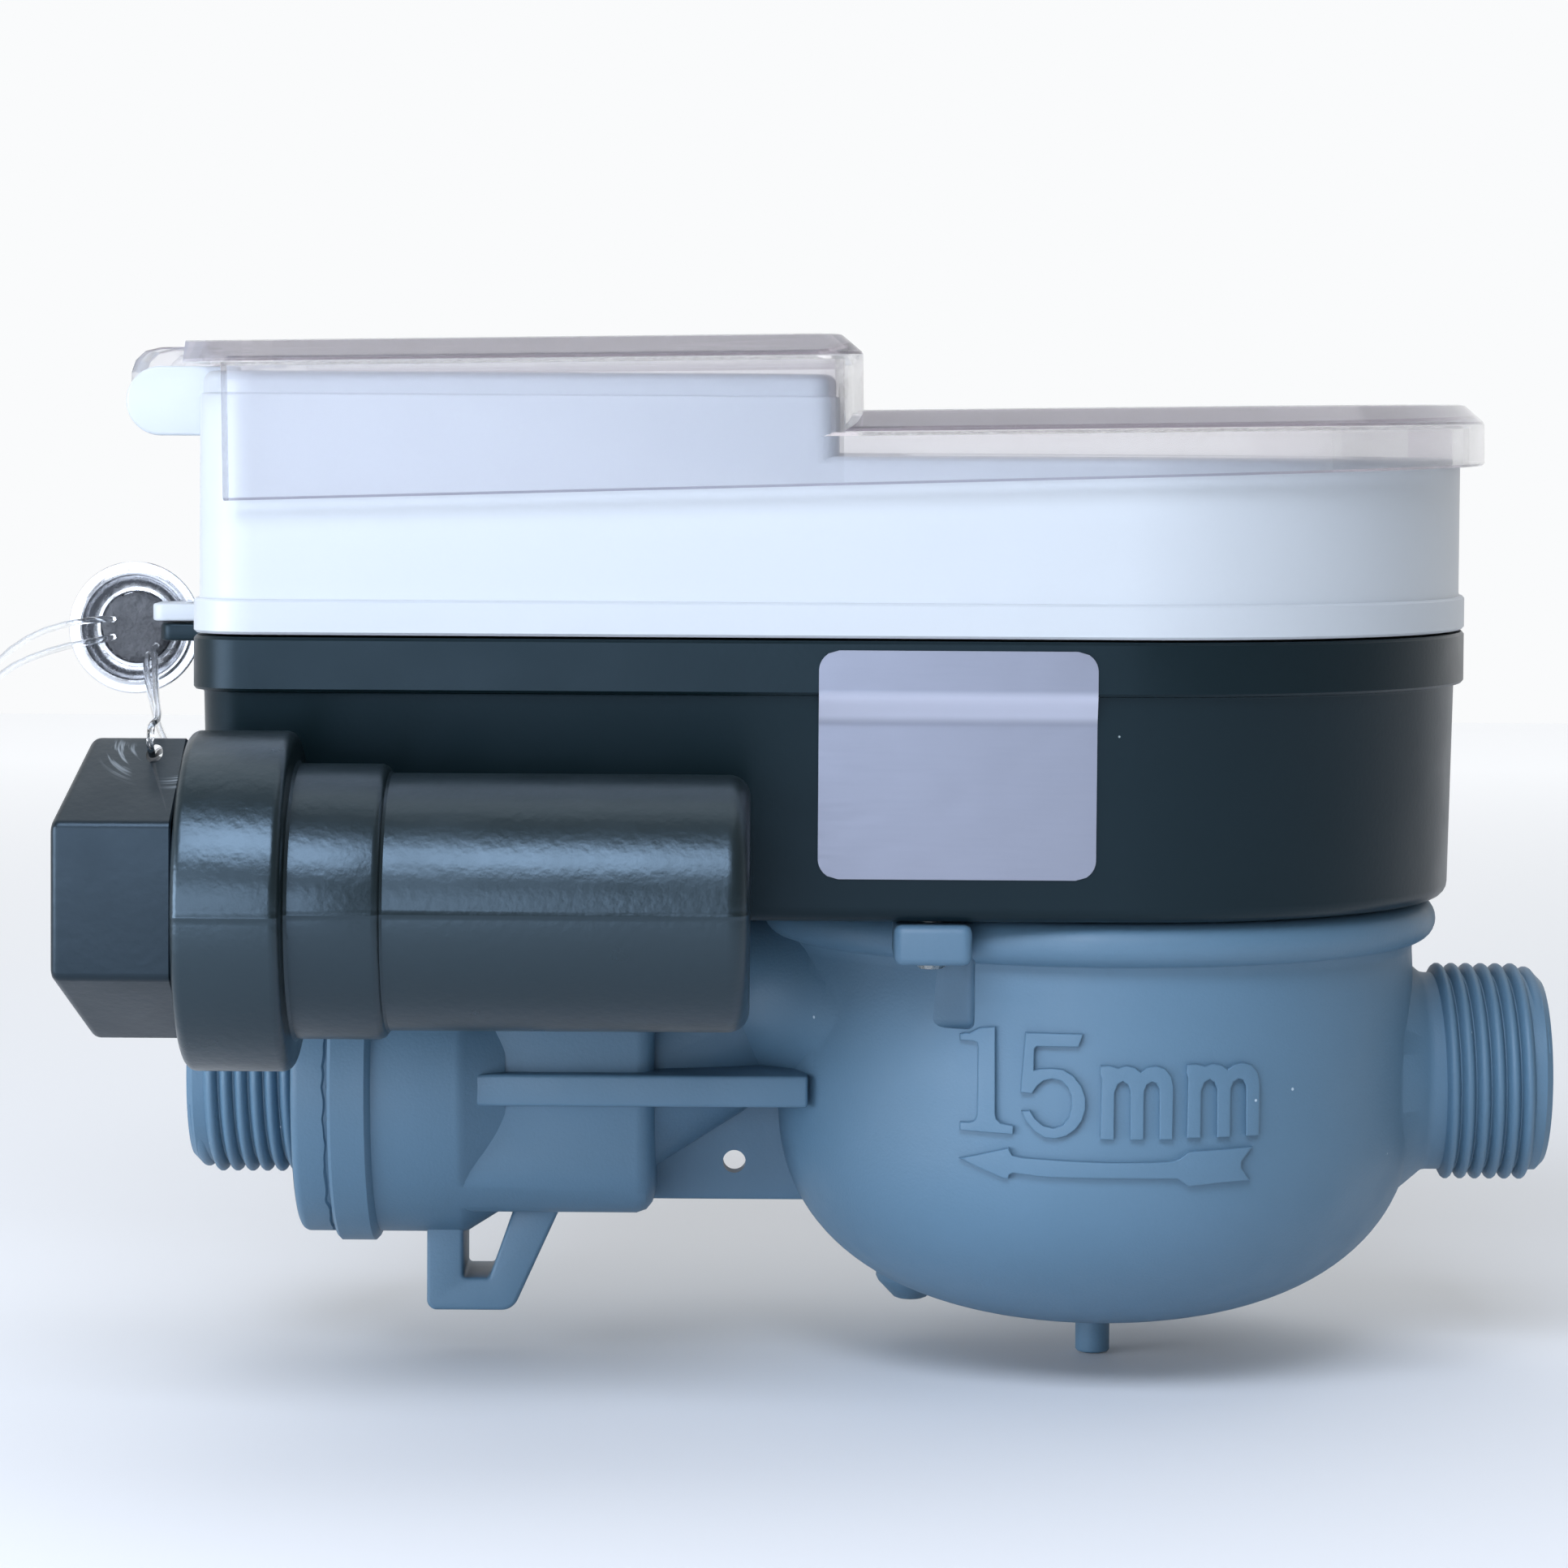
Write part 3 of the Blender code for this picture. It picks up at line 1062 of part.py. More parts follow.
def make_upper_housing():
    """Cover with a flat rim, a lower and an upper deck, hinge ears and a seal lug."""
    low = CASE_SPLIT + GAP / 2
    rim_high = CASE_SPLIT + RIM_HEIGHT
    step, soft, slight = HOUSING_STEP, DECK_FILLET, DECK_FILLET * SOFT_SHARE
    housing = skin("upper_housing", [
        ring_at(case_plan(0), low), ring_at(case_plan(0), rim_high),
        ring_at(case_plan(step), rim_high + STEP_SLOPE), ring_at(case_plan(step), LOWER_DECK - soft),
        ring_at(case_plan(step + slight), LOWER_DECK - slight), ring_at(case_plan(step + soft), LOWER_DECK)],
        WHITE_CASE)
    lug = seal_lug("white_seal_lug", low, low + SEAL_LUG_THICKNESS, SEAL_LUG_REACH)
    join(housing, upper_block(), lug, hinge_ear(-1), hinge_ear(1))
    inner = step + HOUSING_WALL
    rim_room = case_ring("rim_room", BOARD_INSET - GAP, low - OVER, low + GAP * 2 + BOARD_THICKNESS)
    lower_room = case_ring("lower_room", inner, low - OVER, LOWER_DECK - DECK_THICKNESS)
    upper_plan = case_plan(inner + UPPER_SET_BACK, right=DECK_STEP_X - DECK_THICKNESS)
    upper_room = skin("upper_room", [ring_at(upper_plan, low + RIM_HEIGHT),
                                     ring_at(upper_plan, UPPER_DECK - DECK_THICKNESS)])
    window = plate("window_hole", window_outline(0), LOWER_DECK - FAR_OVER, LOWER_DECK + FAR_OVER)
    return cut(housing, rim_room, lower_room, upper_room, window)


def upper_block():
    """Solid that raises the left part of the housing to the upper deck."""
    right, back = DECK_STEP_X, HOUSING_STEP + UPPER_SET_BACK
    soft, slight = DECK_FILLET, DECK_FILLET * SOFT_SHARE
    return skin("upper_block", [
        ring_at(case_plan(back, right=right), LOWER_DECK - DECK_THICKNESS * 2),
        ring_at(case_plan(back, right=right), UPPER_DECK - soft),
        ring_at(case_plan(back + slight, right=right - slight), UPPER_DECK - slight),
        ring_at(case_plan(back + soft, right=right - soft), UPPER_DECK)])


def hinge_ear(side):
    """Round-ended ear on the left wall. The pin goes in from the back, so the front ear's hole is blind."""
    root = CASE_LEFT + HOUSING_STEP + BITE
    outline = [(root, HINGE_Z + EAR_RADIUS), (root, HINGE_Z - EAR_RADIUS)]
    for step in range(13):
        angle = -math.pi / 2 - math.pi * step / 12
        outline.append((HINGE_X + EAR_RADIUS * math.cos(angle), HINGE_Z + EAR_RADIUS * math.sin(angle)))
    middle = side * (EAR_OUTER_Y - EAR_THICKNESS / 2)
    stand = Matrix.Translation((0, middle, 0)) @ Matrix.Rotation(math.pi / 2, 4, "X")
    ear = plate("hinge_ear", outline, -EAR_THICKNESS / 2, EAR_THICKNESS / 2, None, stand)
    front = -EAR_OUTER_Y + EAR_BLIND_WALL
    return cut(ear, hinge_rod("pin_hole", PIN_RADIUS + GAP, front, EAR_OUTER_Y + OVER))


def hinge_rod(name, radius, front, back, material=None):
    """Rod on the hinge's axis between two Y places."""
    return rod(name, radius, (HINGE_X, front, HINGE_Z), (HINGE_X, back, HINGE_Z), material, PIN_STEPS)


def window_outline(inset):
    """Outline of the display window."""
    half_x, half_y = WINDOW_LENGTH / 2 - inset, WINDOW_WIDTH / 2 - inset
    return rounded_box(WINDOW_X - half_x, WINDOW_X + half_x, half_y, WINDOW_CORNER - inset, 4)


def lid_block(name, inset, low, top, right=None, soft=True):
    """Solid of the lid's plan, with the bevel round its top edge."""
    drop = LID_BEVEL_DROP if soft else 0
    left = CASE_LEFT - LID_LEFT_CUT
    rings = [ring_at(case_plan(inset, left, right), low), ring_at(case_plan(inset, left, right), top - drop)]
    if soft:
        shrink = LID_BEVEL_INSET
        narrower = right - shrink if right is not None else None
        rings.append(ring_at(case_plan(inset + shrink, left, narrower), top))
    return skin(name, rings)


def make_lid():
    """Clear stepped cover with a skirt and two hinge knuckles, hung on its hinge and left ajar."""
    outer = HOUSING_STEP - LID_PLAY - LID_WALL
    inner = outer + LID_WALL
    upper_top, lower_top = UPPER_DECK + LID_UPPER_RISE, LOWER_DECK + LID_LOWER_RISE
    step_x = DECK_STEP_X + LID_STEP_OUT
    lid = lid_block("clear_lid", outer, LID_SKIRT_BOTTOM, lower_top)
    upper = lid_block("lid_upper", outer + UPPER_SET_BACK, lower_top - LID_PLATE * 2, upper_top, right=step_x)
    lower_room = lid_block("lid_lower_room", inner, LID_SKIRT_BOTTOM - FAR_OVER, lower_top - LID_PLATE,
                           soft=False)
    upper_room = lid_block("lid_upper_room", inner + UPPER_SET_BACK, LID_SKIRT_BOTTOM + OVER,
                           upper_top - LID_PLATE, step_x - LID_WALL, False)
    # The skirt stops short of the left end, and the top plate ends above the housing's wall
    wide = CASE_HALF_WIDTH + FAR_OVER
    past, below = CASE_LEFT - LID_LEFT_CUT - FAR_OVER, LID_SKIRT_BOTTOM - FAR_OVER
    skirt_end = block("skirt_end", (past, -wide, below), (LID_SKIRT_LEFT, wide, upper_top - LID_PLATE))
    plate_end = block("plate_end", (past, -wide, below), (CASE_LEFT, wide, upper_top + FAR_OVER))
    cut(join(lid, upper), lower_room, upper_room, skirt_end, plate_end)
    join(lid, lid_knuckle(-1, upper_top), lid_knuckle(1, upper_top))
    cut(lid, hinge_rod("pin_hole", PIN_RADIUS + GAP, -EAR_OUTER_Y, EAR_OUTER_Y))
    lid.data.materials.clear()
    lid.data.materials.append(CLEAR_LID)
    return hang_lid(lid)


def hang_lid(lid):
    """Put the lid on an empty on its hinge's axis, and leave it ajar."""
    hinge = bpy.data.objects.new("lid_hinge_axis", None)
    hinge.location = (HINGE_X, 0, HINGE_Z)
    bpy.context.scene.collection.objects.link(hinge)
    lid.data.transform(Matrix.Translation((-HINGE_X, 0, -HINGE_Z)))
    lid.parent = hinge
    hinge.rotation_euler = (0, -LID_AJAR, 0)
    return lid


def lid_knuckle(side, top):
    """Arm from the lid's plate, round the pin and inside the ear."""
    root = CASE_LEFT + BITE * 0.75
    under = top - LID_PLATE
    outline = [(root, top - STEP_SLOPE), (root, under + STEP_SLOPE)]
    outline += [(HINGE_X + KNUCKLE_RADIUS * 0.9, under - OVER)]
    for step in range(11):
        angle = -math.pi * 0.02 - math.pi * 1.02 * step / 10
        outline.append((HINGE_X + KNUCKLE_RADIUS * math.cos(angle),
                        HINGE_Z + KNUCKLE_RADIUS * math.sin(angle)))
    outline += [(HINGE_X + x, top - drop) for x, drop in KNUCKLE_BACK]
    middle = side * (EAR_OUTER_Y - EAR_THICKNESS - GAP - KNUCKLE_LENGTH / 2)
    stand = Matrix.Translation((0, middle, 0)) @ Matrix.Rotation(math.pi / 2, 4, "X")
    return plate("knuckle", outline, -KNUCKLE_LENGTH / 2, KNUCKLE_LENGTH / 2, None, stand)


def make_hinge_pin():
    """Steel pin through the knuckles and the back ear, into the front ear."""
    return hinge_rod("hinge_pin", PIN_RADIUS, -EAR_OUTER_Y + EAR_BLIND_WALL + GAP, EAR_OUTER_Y, STEEL)


# Electronics

def make_electronics():
    """Board in the joint of the case, display on its legs, radio module and antenna."""
    low = CASE_SPLIT + GAP / 2
    case_ring("main_board", BOARD_INSET, low, low + BOARD_THICKNESS, BOARD)
    floor = low + BOARD_THICKNESS + GAP
    high = LOWER_DECK - DECK_THICKNESS - GAP
    half_x, half_y = WINDOW_LENGTH / 2 + PANEL_MARGIN, WINDOW_WIDTH / 2 + PANEL_MARGIN
    panel = block("display_module", (WINDOW_X - half_x, -half_y, high - PANEL_THICKNESS),
                  (WINDOW_X + half_x, half_y, high), BLACK_CASE)
    leg_top = high - PANEL_THICKNESS / 2
    for x in (WINDOW_X - half_x, WINDOW_X + half_x - PANEL_LEG):
        for y in (-half_y, half_y - PANEL_LEG):
            join(panel, block("panel_leg", (x, y, floor), (x + PANEL_LEG, y + PANEL_LEG, leg_top)))
    plate("display_window", window_outline(GAP), high + GAP, LOWER_DECK, CLEAR_LID)
    radio_x = VALVE_X + RADIO_FROM_STEM
    block("radio_module", (radio_x - RADIO_LENGTH / 2, -RADIO_WIDTH / 2, floor),
          (radio_x + RADIO_LENGTH / 2, RADIO_WIDTH / 2, floor + RADIO_HEIGHT), ALUMINIUM)
    antenna_x = VALVE_X + ANTENNA_FROM_STEM
    rod("antenna", ANTENNA_RADIUS, (antenna_x, 0, floor), (antenna_x, 0, floor + ANTENNA_HEIGHT), BRASS, 12)


# Battery

def make_battery(bore_end):
    """Contact, cell, ring and hexagonal cap in the tube."""
    contact_right = bore_end - GAP
    contact_left = contact_right - CONTACT_THICKNESS
    plug_end = FLANGE_LEFT + CAP_PLUG_LENGTH
    cell_z = TUBE_Z - TUBE_BORE_RADIUS + CELL_RADIUS + GAP
    rod("battery_contact", CELL_RADIUS, (contact_left, TUBE_Y, cell_z), (contact_right, TUBE_Y, cell_z),
        STEEL)
    right, left = contact_left - GAP, plug_end + GAP
    nub = right - CELL_NUB_HEIGHT
    turned("battery_cell", [(0, left), (CELL_RADIUS, left), (CELL_RADIUS, nub), (CELL_NUB_RADIUS, nub),
                            (CELL_NUB_RADIUS, right), (0, right)], CELL_SLEEVE,
           along((1, 0, 0), (0, TUBE_Y, cell_z)), SMALL_STEPS)
    head_right = FLANGE_LEFT - CAP_SEAL_THICKNESS - 2 * GAP
    head_left = FLANGE_LEFT - CAP_LENGTH
    plug_radius = TUBE_BORE_RADIUS - GAP
    turned("battery_cap_seal", [
        (plug_radius + GAP, head_right + GAP), (CAP_SEAL_RADIUS, head_right + GAP),
        (CAP_SEAL_RADIUS, FLANGE_LEFT - GAP), (plug_radius + GAP, FLANGE_LEFT - GAP)],
        RUBBER, along((1, 0, 0), (0, TUBE_Y, TUBE_Z)), SMALL_STEPS)
    make_cap(head_left, head_right, plug_radius, plug_end)


def cap_section(radius, x, slant=0.0):
    """Hexagon with its corners up and down, a little above the tube's axis.

    A slant sets its back to the right.
    """
    corners = [(radius * math.sin(math.pi / 3 * i), radius * math.cos(math.pi / 3 * i), CAP_EDGE_ROUND)
               for i in range(6)]
    return [(x + slant * (y + CAP_CORNER_RADIUS), y + TUBE_Y, z + TUBE_Z + CAP_LIFT)
            for y, z in rounded(corners, 2)]


def make_cap(head_left, head_right, plug_radius, plug_end):
    """Hexagonal head with a seat for the ring, a hollow plug and a cross hole under its top corner."""
    soft, slight = CAP_EDGE_ROUND, CAP_EDGE_ROUND * SOFT_SHARE
    cap = skin("battery_cap", [cap_section(CAP_CORNER_RADIUS - soft, head_left, CAP_SLANT),
                               cap_section(CAP_CORNER_RADIUS - slight, head_left + slight, CAP_SLANT),
                               cap_section(CAP_CORNER_RADIUS, head_left + soft, CAP_SLANT),
                               cap_section(CAP_CORNER_RADIUS, FLANGE_LEFT - GAP)], BLACK_CASE)
    axis = (TUBE_Y, TUBE_Z)
    cut(cap, rod("ring_seat", CAP_SEAL_RADIUS + GAP, (head_right, *axis), (FLANGE_LEFT + OVER, *axis),
                 steps=ROUND_STEPS))
    join(cap, rod("plug", plug_radius, (head_right - BITE, *axis), (plug_end, *axis), steps=ROUND_STEPS))
    recess = rod("recess", CAP_RECESS_RADIUS, (plug_end - CAP_RECESS_DEPTH, *axis), (plug_end + OVER, *axis))
    x, z = FLANGE_LEFT - CAP_HOLE_FROM_FLANGE, TUBE_Z + CAP_LIFT + CAP_CORNER_RADIUS - CAP_HOLE_DROP
    front, back = TUBE_Y - CAP_CORNER_RADIUS, TUBE_Y + CAP_CORNER_RADIUS
    return cut(cap, recess, rod("cord_hole", CAP_HOLE_RADIUS, (x, front, z), (x, back, z), None, 12))


def make_screws():
    """Screws from inside the case down into the body."""
    floor = CASE_BOTTOM + CASE_FLOOR + GAP
    names = ("lug_screw_front", "lug_screw_back", "tower_screw_front", "tower_screw_back")
    for name, (x, y) in zip(names, screw_places()):
        tip = BOWL_TOP - SCREW_TIP - (LUG_THICKNESS if "lug" in name else TOWER_FLANGE_THICKNESS)
        turned(name, [(0, tip), (SCREW_RADIUS - SCREW_CHAMFER, tip), (SCREW_RADIUS, tip + SCREW_CHAMFER),
                      (SCREW_RADIUS, floor), (SCREW_HEAD_RADIUS, floor),
                      (SCREW_HEAD_RADIUS, floor + SCREW_HEAD_HEIGHT / 2),
                      (SCREW_HEAD_RADIUS - SCREW_CHAMFER, floor + SCREW_HEAD_HEIGHT),
                      (0, floor + SCREW_HEAD_HEIGHT)], STEEL, Matrix.Translation((x, y, 0)), 12)


# Wire seal

def make_seal():
    """Cup, putty and the cord's loop and tails."""
    place = along((0, -1, 0), (SEAL_X, SEAL_BACK_Y, SEAL_Z))
    front = SEAL_DEPTH
    wall = SEAL_WALL
    cup = [(0, 0), (SEAL_BOTTOM_RADIUS, 0), (SEAL_RIM_RADIUS, front - wall), (SEAL_RADIUS, front - wall),
           (SEAL_RADIUS, front), (SEAL_RIM_RADIUS - wall, front), (SEAL_BOTTOM_RADIUS - wall, wall),
           (0, wall)]
    turned("seal_cup", cup, ALUMINIUM, place, ROUND_STEPS)
    soft = PUTTY_PROUD
    turned("seal_putty", [(0, wall + GAP), (PUTTY_RADIUS, wall + GAP), (PUTTY_RADIUS, front - soft),
                          (PUTTY_RADIUS - soft, front), (0, front)], PUTTY, place, SMALL_STEPS)


def smooth_path(points, spacing):
    """Points read at even steps from a smooth curve through the route's own points."""
    route = [Vector(p) for p in points]
    dense = []
    for i in range(len(route) - 1):
        before = route[max(i - 1, 0)]
        after = route[min(i + 2, len(route) - 1)]
        here, there = route[i], route[i + 1]
        for step in range(20):
            t = step / 20
            dense.append(0.5 * (2 * here + (there - before) * t
                                + (2 * before - 5 * here + 4 * there - after) * t ** 2
                                + (3 * here - before - 3 * there + after) * t ** 3))
    dense.append(route[-1])
    total = sum((b - a).length for a, b in zip(dense, dense[1:]))
    count = max(round(total / spacing), 2)
    spaced, walked, nearest = [dense[0]], 0.0, 1
    for a, b in zip(dense, dense[1:]):
        length = (b - a).length
        while nearest < count and walked + length >= nearest * total / count:
            spaced.append(a.lerp(b, (nearest * total / count - walked) / length))
            nearest += 1
        walked += length
    return spaced + [dense[-1]]


# Routes of the seal's cord, chosen by hand: the loop through the cap, then the two cut tails
CORD_LOOP = [
    (-0.1701, -0.0010, 0.0514), (-0.1700, -0.0034, 0.0511), (-0.1690, -0.0100, 0.0503),
    (-0.1676, -0.0200, 0.0492), (-0.1650, -0.0380, 0.0473), (-0.1633, -0.0490, 0.0461),
    (-0.1627, -0.0545, 0.0456), (-0.1626, -0.0585, 0.0455), (-0.1626, -0.0602, 0.0450),
    (-0.1626, -0.0609, 0.0438), (-0.1626, -0.0602, 0.0426), (-0.1626, -0.0585, 0.0421),
    (-0.1626, -0.0540, 0.0421), (-0.1626, -0.0495, 0.0421), (-0.1630, -0.0450, 0.0425),
    (-0.1650, -0.0360, 0.0439), (-0.1682, -0.0200, 0.0470), (-0.1700, -0.0100, 0.0490),
    (-0.1708, -0.0034, 0.0501), (-0.1710, -0.0010, 0.0503)]
CORD_TAIL_UPPER = [
    (-0.1753, -0.0010, 0.0546), (-0.1756, -0.0024, 0.0547), (-0.1774, -0.0038, 0.0546),
    (-0.1805, -0.0045, 0.0541), (-0.1845, -0.0049, 0.0527), (-0.1884, -0.0050, 0.0499),
    (-0.1914, -0.0047, 0.0459), (-0.1935, -0.0041, 0.0415), (-0.1946, -0.0037, 0.0376),
    (-0.1950, -0.0035, 0.0340)]
CORD_TAIL_LOWER = [
    (-0.1753, -0.0010, 0.0524), (-0.1756, -0.0024, 0.0523), (-0.1774, -0.0040, 0.0520),
    (-0.1805, -0.0048, 0.0514), (-0.1845, -0.0054, 0.0501), (-0.1883, -0.0057, 0.0480),
    (-0.1910, -0.0057, 0.0446), (-0.1925, -0.0055, 0.0406), (-0.1933, -0.0053, 0.0366),
    (-0.1937, -0.0050, 0.0326)]


def cord(name, points):
    """Thin round cord along a smooth route."""
    curve = bpy.data.curves.new(name, "CURVE")
    curve.dimensions = "3D"
    curve.bevel_depth = CORD_RADIUS
    curve.bevel_resolution = 2
    curve.use_fill_caps = True
    spline = curve.splines.new("POLY")
    path = smooth_path(points, CORD_SPACING)
    spline.points.add(len(path) - 1)
    for spot, point in zip(spline.points, path):
        spot.co = (*point, 1.0)
    curve.materials.append(NYLON_CORD)
    thing = bpy.data.objects.new(name, curve)
    bpy.context.scene.collection.objects.link(thing)
    return thing


def shade_round_pieces():
    """Smooth shading with the real edges kept sharp."""
    for thing in bpy.data.objects:
        if thing.type == "MESH":
            thing.data.shade_smooth()
            thing.data.set_sharp_from_angle(angle=math.radians(30))


make_meter_body()
make_outlet_fitting()
make_strainer()
make_measuring_chamber()
make_chamber_cover()
make_impeller()
make_impeller_pivot()
magnet_ring("drive_magnet", CHAMBER_CUP_TOP - MAGNET_HEIGHT - GAP)
make_sealing_plate()
make_head_seal()
make_valve_ball()
make_valve_seat("valve_seat_inlet", 1)
make_valve_seat("valve_seat_outlet", -1)
make_valve_stem()
make_stem_seal()
make_valve_drive()
make_register()
make_battery(make_lower_case())
make_gasket()
make_upper_housing()
make_lid()
make_hinge_pin()
make_electronics()
make_screws()
make_seal()
cord("seal_cord_loop", CORD_LOOP)
cord("seal_cord_tail_upper", CORD_TAIL_UPPER)
cord("seal_cord_tail_lower", CORD_TAIL_LOWER)
shade_round_pieces()
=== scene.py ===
"""Looks of the water meter: camera, cords, lights, materials and the finely finished pieces.

Shapes are built in millimetres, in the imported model's own frame, and made metres when they are dressed.
"""
import json
import math
from contextlib import contextmanager

import bmesh
import bpy
from mathutils import Matrix, Vector, noise


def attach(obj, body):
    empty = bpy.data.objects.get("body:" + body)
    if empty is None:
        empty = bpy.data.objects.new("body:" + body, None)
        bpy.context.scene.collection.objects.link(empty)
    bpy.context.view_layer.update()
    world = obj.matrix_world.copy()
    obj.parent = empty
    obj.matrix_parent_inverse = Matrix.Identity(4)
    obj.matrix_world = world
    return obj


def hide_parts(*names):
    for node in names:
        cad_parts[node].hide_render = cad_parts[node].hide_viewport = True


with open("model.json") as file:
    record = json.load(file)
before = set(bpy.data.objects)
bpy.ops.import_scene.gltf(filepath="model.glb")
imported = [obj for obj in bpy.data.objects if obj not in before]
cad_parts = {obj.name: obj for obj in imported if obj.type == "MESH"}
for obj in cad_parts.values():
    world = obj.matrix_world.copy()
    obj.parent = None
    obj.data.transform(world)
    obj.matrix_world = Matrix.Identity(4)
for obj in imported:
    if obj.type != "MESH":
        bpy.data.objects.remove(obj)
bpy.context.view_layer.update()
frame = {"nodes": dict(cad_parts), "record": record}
scene = bpy.context.scene

# The same sizes as the solids, in millimetres
GAP = 0.3
OUTLET_X = -165.0
BORE = 7.2
THREAD_ROOT = 12.06
THREAD_CREST = 13.2
THREAD_PITCH = 1.814
THREAD_REACH = 14.5
THREAD_START = 13.4
THREAD_TURNS = 6.7
THREAD_STEPS = 120
BOWL_X = -54.6
BOWL_RADIUS = 39.0
BOWL_RIM = 38.5
BOWL_DEPTH = 29.9
BOWL_TOP = 22.0
BOWL_BELLY = 3.0
BOWL_FULLNESS = 2.4
BEAD_RADIUS = 41.3
BEAD_HEIGHT = 5.1
VALVE_X = -119.4
CASE_LEFT = -160.8
CASE_HALF = 44.3
CASE_CORNER = 7.5
CASE_BOTTOM = 22.3
CASE_RIM_LOW = 48.2
CASE_SPLIT = 54.6
CASE_STEP = 1.2
HOUSING_STEP = 0.7
LOWER_DECK = 75.3
UPPER_DECK = 84.6
DECK_STEP_X = -87.0
HINGE = Vector((-167.6, 0.0, 81.2))
PIN_HOLE = 1.5
LID_AJAR = math.radians(1.0)
LID_WALL = 1.8
LID_GAP = 1.0
LID_PLATE = 2.5
HOUSING_WALL = 2.3
EDGE_ROUND = 1.2
EAR_X = HINGE.x + 1.6
EAR_RADIUS = 4.05
TUBE_Y, TUBE_Z = -54.0, 25.6
FLANGE_LEFT = -159.0
CAP_CORNER = 16.9
CAP_LIFT = 1.3
SEAL_X, SEAL_BACK_Y, SEAL_Z = -172.7, 3.9, 53.6
LUG_THICKNESS = 2.1

# In metres
CORD_DIAMETER = 0.0008
FLOOR_Z = -0.0352
FLOOR_HALF = 1.25


def placed(name, data):
    """New object in the scene."""
    thing = bpy.data.objects.new(name, data)
    scene.collection.objects.link(thing)
    return thing


# Camera, at the photograph's place and angle

camera_data = bpy.data.cameras.new("camera")
camera_data.sensor_fit = "HORIZONTAL"
camera_data.sensor_width = 36.0
camera_data.lens = 105.76
camera_data.shift_y = -0.1
camera_data.clip_start = 0.01
camera_tilt = Matrix.Rotation(math.radians(90 - 2.436), 4, "X") @ Matrix.Rotation(math.radians(0.3648), 4, "Z")
scene.camera = placed("camera", camera_data)
scene.camera.matrix_world = Matrix.Translation((-0.0932, -0.5644, 0.0781)) @ camera_tilt
scene.view_settings.view_transform = "Standard"


# Materials

def shade(colour):
    """Linear RGBA from an sRGB hex colour."""
    channels = [int(colour[i:i + 2], 16) / 255 for i in (1, 3, 5)]
    linear = [c / 12.92 if c <= 0.04045 else ((c + 0.055) / 1.055) ** 2.4 for c in channels]
    return (*linear, 1.0)


def add(tree, kind, inputs=None, **settings):
    """Add a node, give it its settings, and fill its sockets with values or links."""
    node = tree.nodes.new(kind)
    for field, value in settings.items():
        setattr(node, field, value)
    for key, value in (inputs or {}).items():
        socket = node.inputs[key]
        if isinstance(value, bpy.types.NodeSocket):
            tree.links.new(value, socket)
        else:
            socket.default_value = value
    return node


def calc(tree, kind, first, second=0.0, third=0.0):
    """Result of one step of arithmetic."""
    return add(tree, "ShaderNodeMath", {0: first, 1: second, 2: third}, operation=kind).outputs[0]


def level(tree, value, low, high, start=0.0, end=1.0, kind="LINEAR"):
    """Value rescaled from the range low to high into the range start to end."""
    return add(tree, "ShaderNodeMapRange", {"Value": value, "From Min": low, "From Max": high, "To Min": start,
                                            "To Max": end}, interpolation_type=kind).outputs["Result"]


def mottle(tree, place, scale, detail, roughness=0.5):
    """Soft noise at a place."""
    return add(tree, "ShaderNodeTexNoise", {"Vector": place, "Scale": scale, "Detail": detail,
                                            "Roughness": roughness}).outputs["Fac"]


def drive(tree, name, result):
    """Let a pattern drive one of the shader's sockets."""
    tree.links.new(result, tree.nodes["Principled BSDF"].inputs[name])


def emboss(tree, pattern, strength, depth):
    """Let a pattern stand out of the surface by a depth in millimetres."""
    bump = add(tree, "ShaderNodeBump", {"Height": pattern, "Strength": strength, "Distance": depth / 1000})
    drive(tree, "Normal", bump.outputs["Normal"])


def paint(tree, share, colour):
    """Mix a colour over the base colour, or over what drives it already."""
    base = tree.nodes["Principled BSDF"].inputs["Base Color"]
    under = base.links[0].from_socket if base.is_linked else tuple(base.default_value)
    tone = add(tree, "ShaderNodeMix", {"Factor": share, "A": under, "B": shade(colour)}, data_type="RGBA")
    drive(tree, "Base Color", tone.outputs["Result"])


def object_place(tree):
    """Place of a point on the object, in metres."""
    return add(tree, "ShaderNodeTexCoord").outputs["Object"]


def start_material(name, colour, **constants):
    """Material with one Principled shader, its constant sockets set, and a place to read patterns from."""
    material = bpy.data.materials.new(name)
    material.use_nodes = True
    tree = material.node_tree
    for key, value in {"Base_Color": shade(colour), **constants}.items():
        tree.nodes["Principled BSDF"].inputs[key.replace("_", " ")].default_value = value
    return material, tree, object_place(tree)


def moulded(name, colour, second, gloss, grain_mm, grain_depth, drift_mm=18.0, **constants):
    """Moulded plastic: tone that drifts with the melt's flow, and the fine grain of a spark-eroded mould.

    gloss is the roughness from its shiniest to its dullest place.
    """
    material, tree, place = start_material(name, colour, **constants)
    paint(tree, mottle(tree, place, 1000 / drift_mm, 3.0, 0.55), second)
    wear = mottle(tree, place, 1000 / (drift_mm * 0.3), 5.0)
    drive(tree, "Roughness", level(tree, wear, 0.3, 0.7, *gloss))
    emboss(tree, mottle(tree, place, 1000 / grain_mm, 2.0), 0.6, grain_depth)
    return material


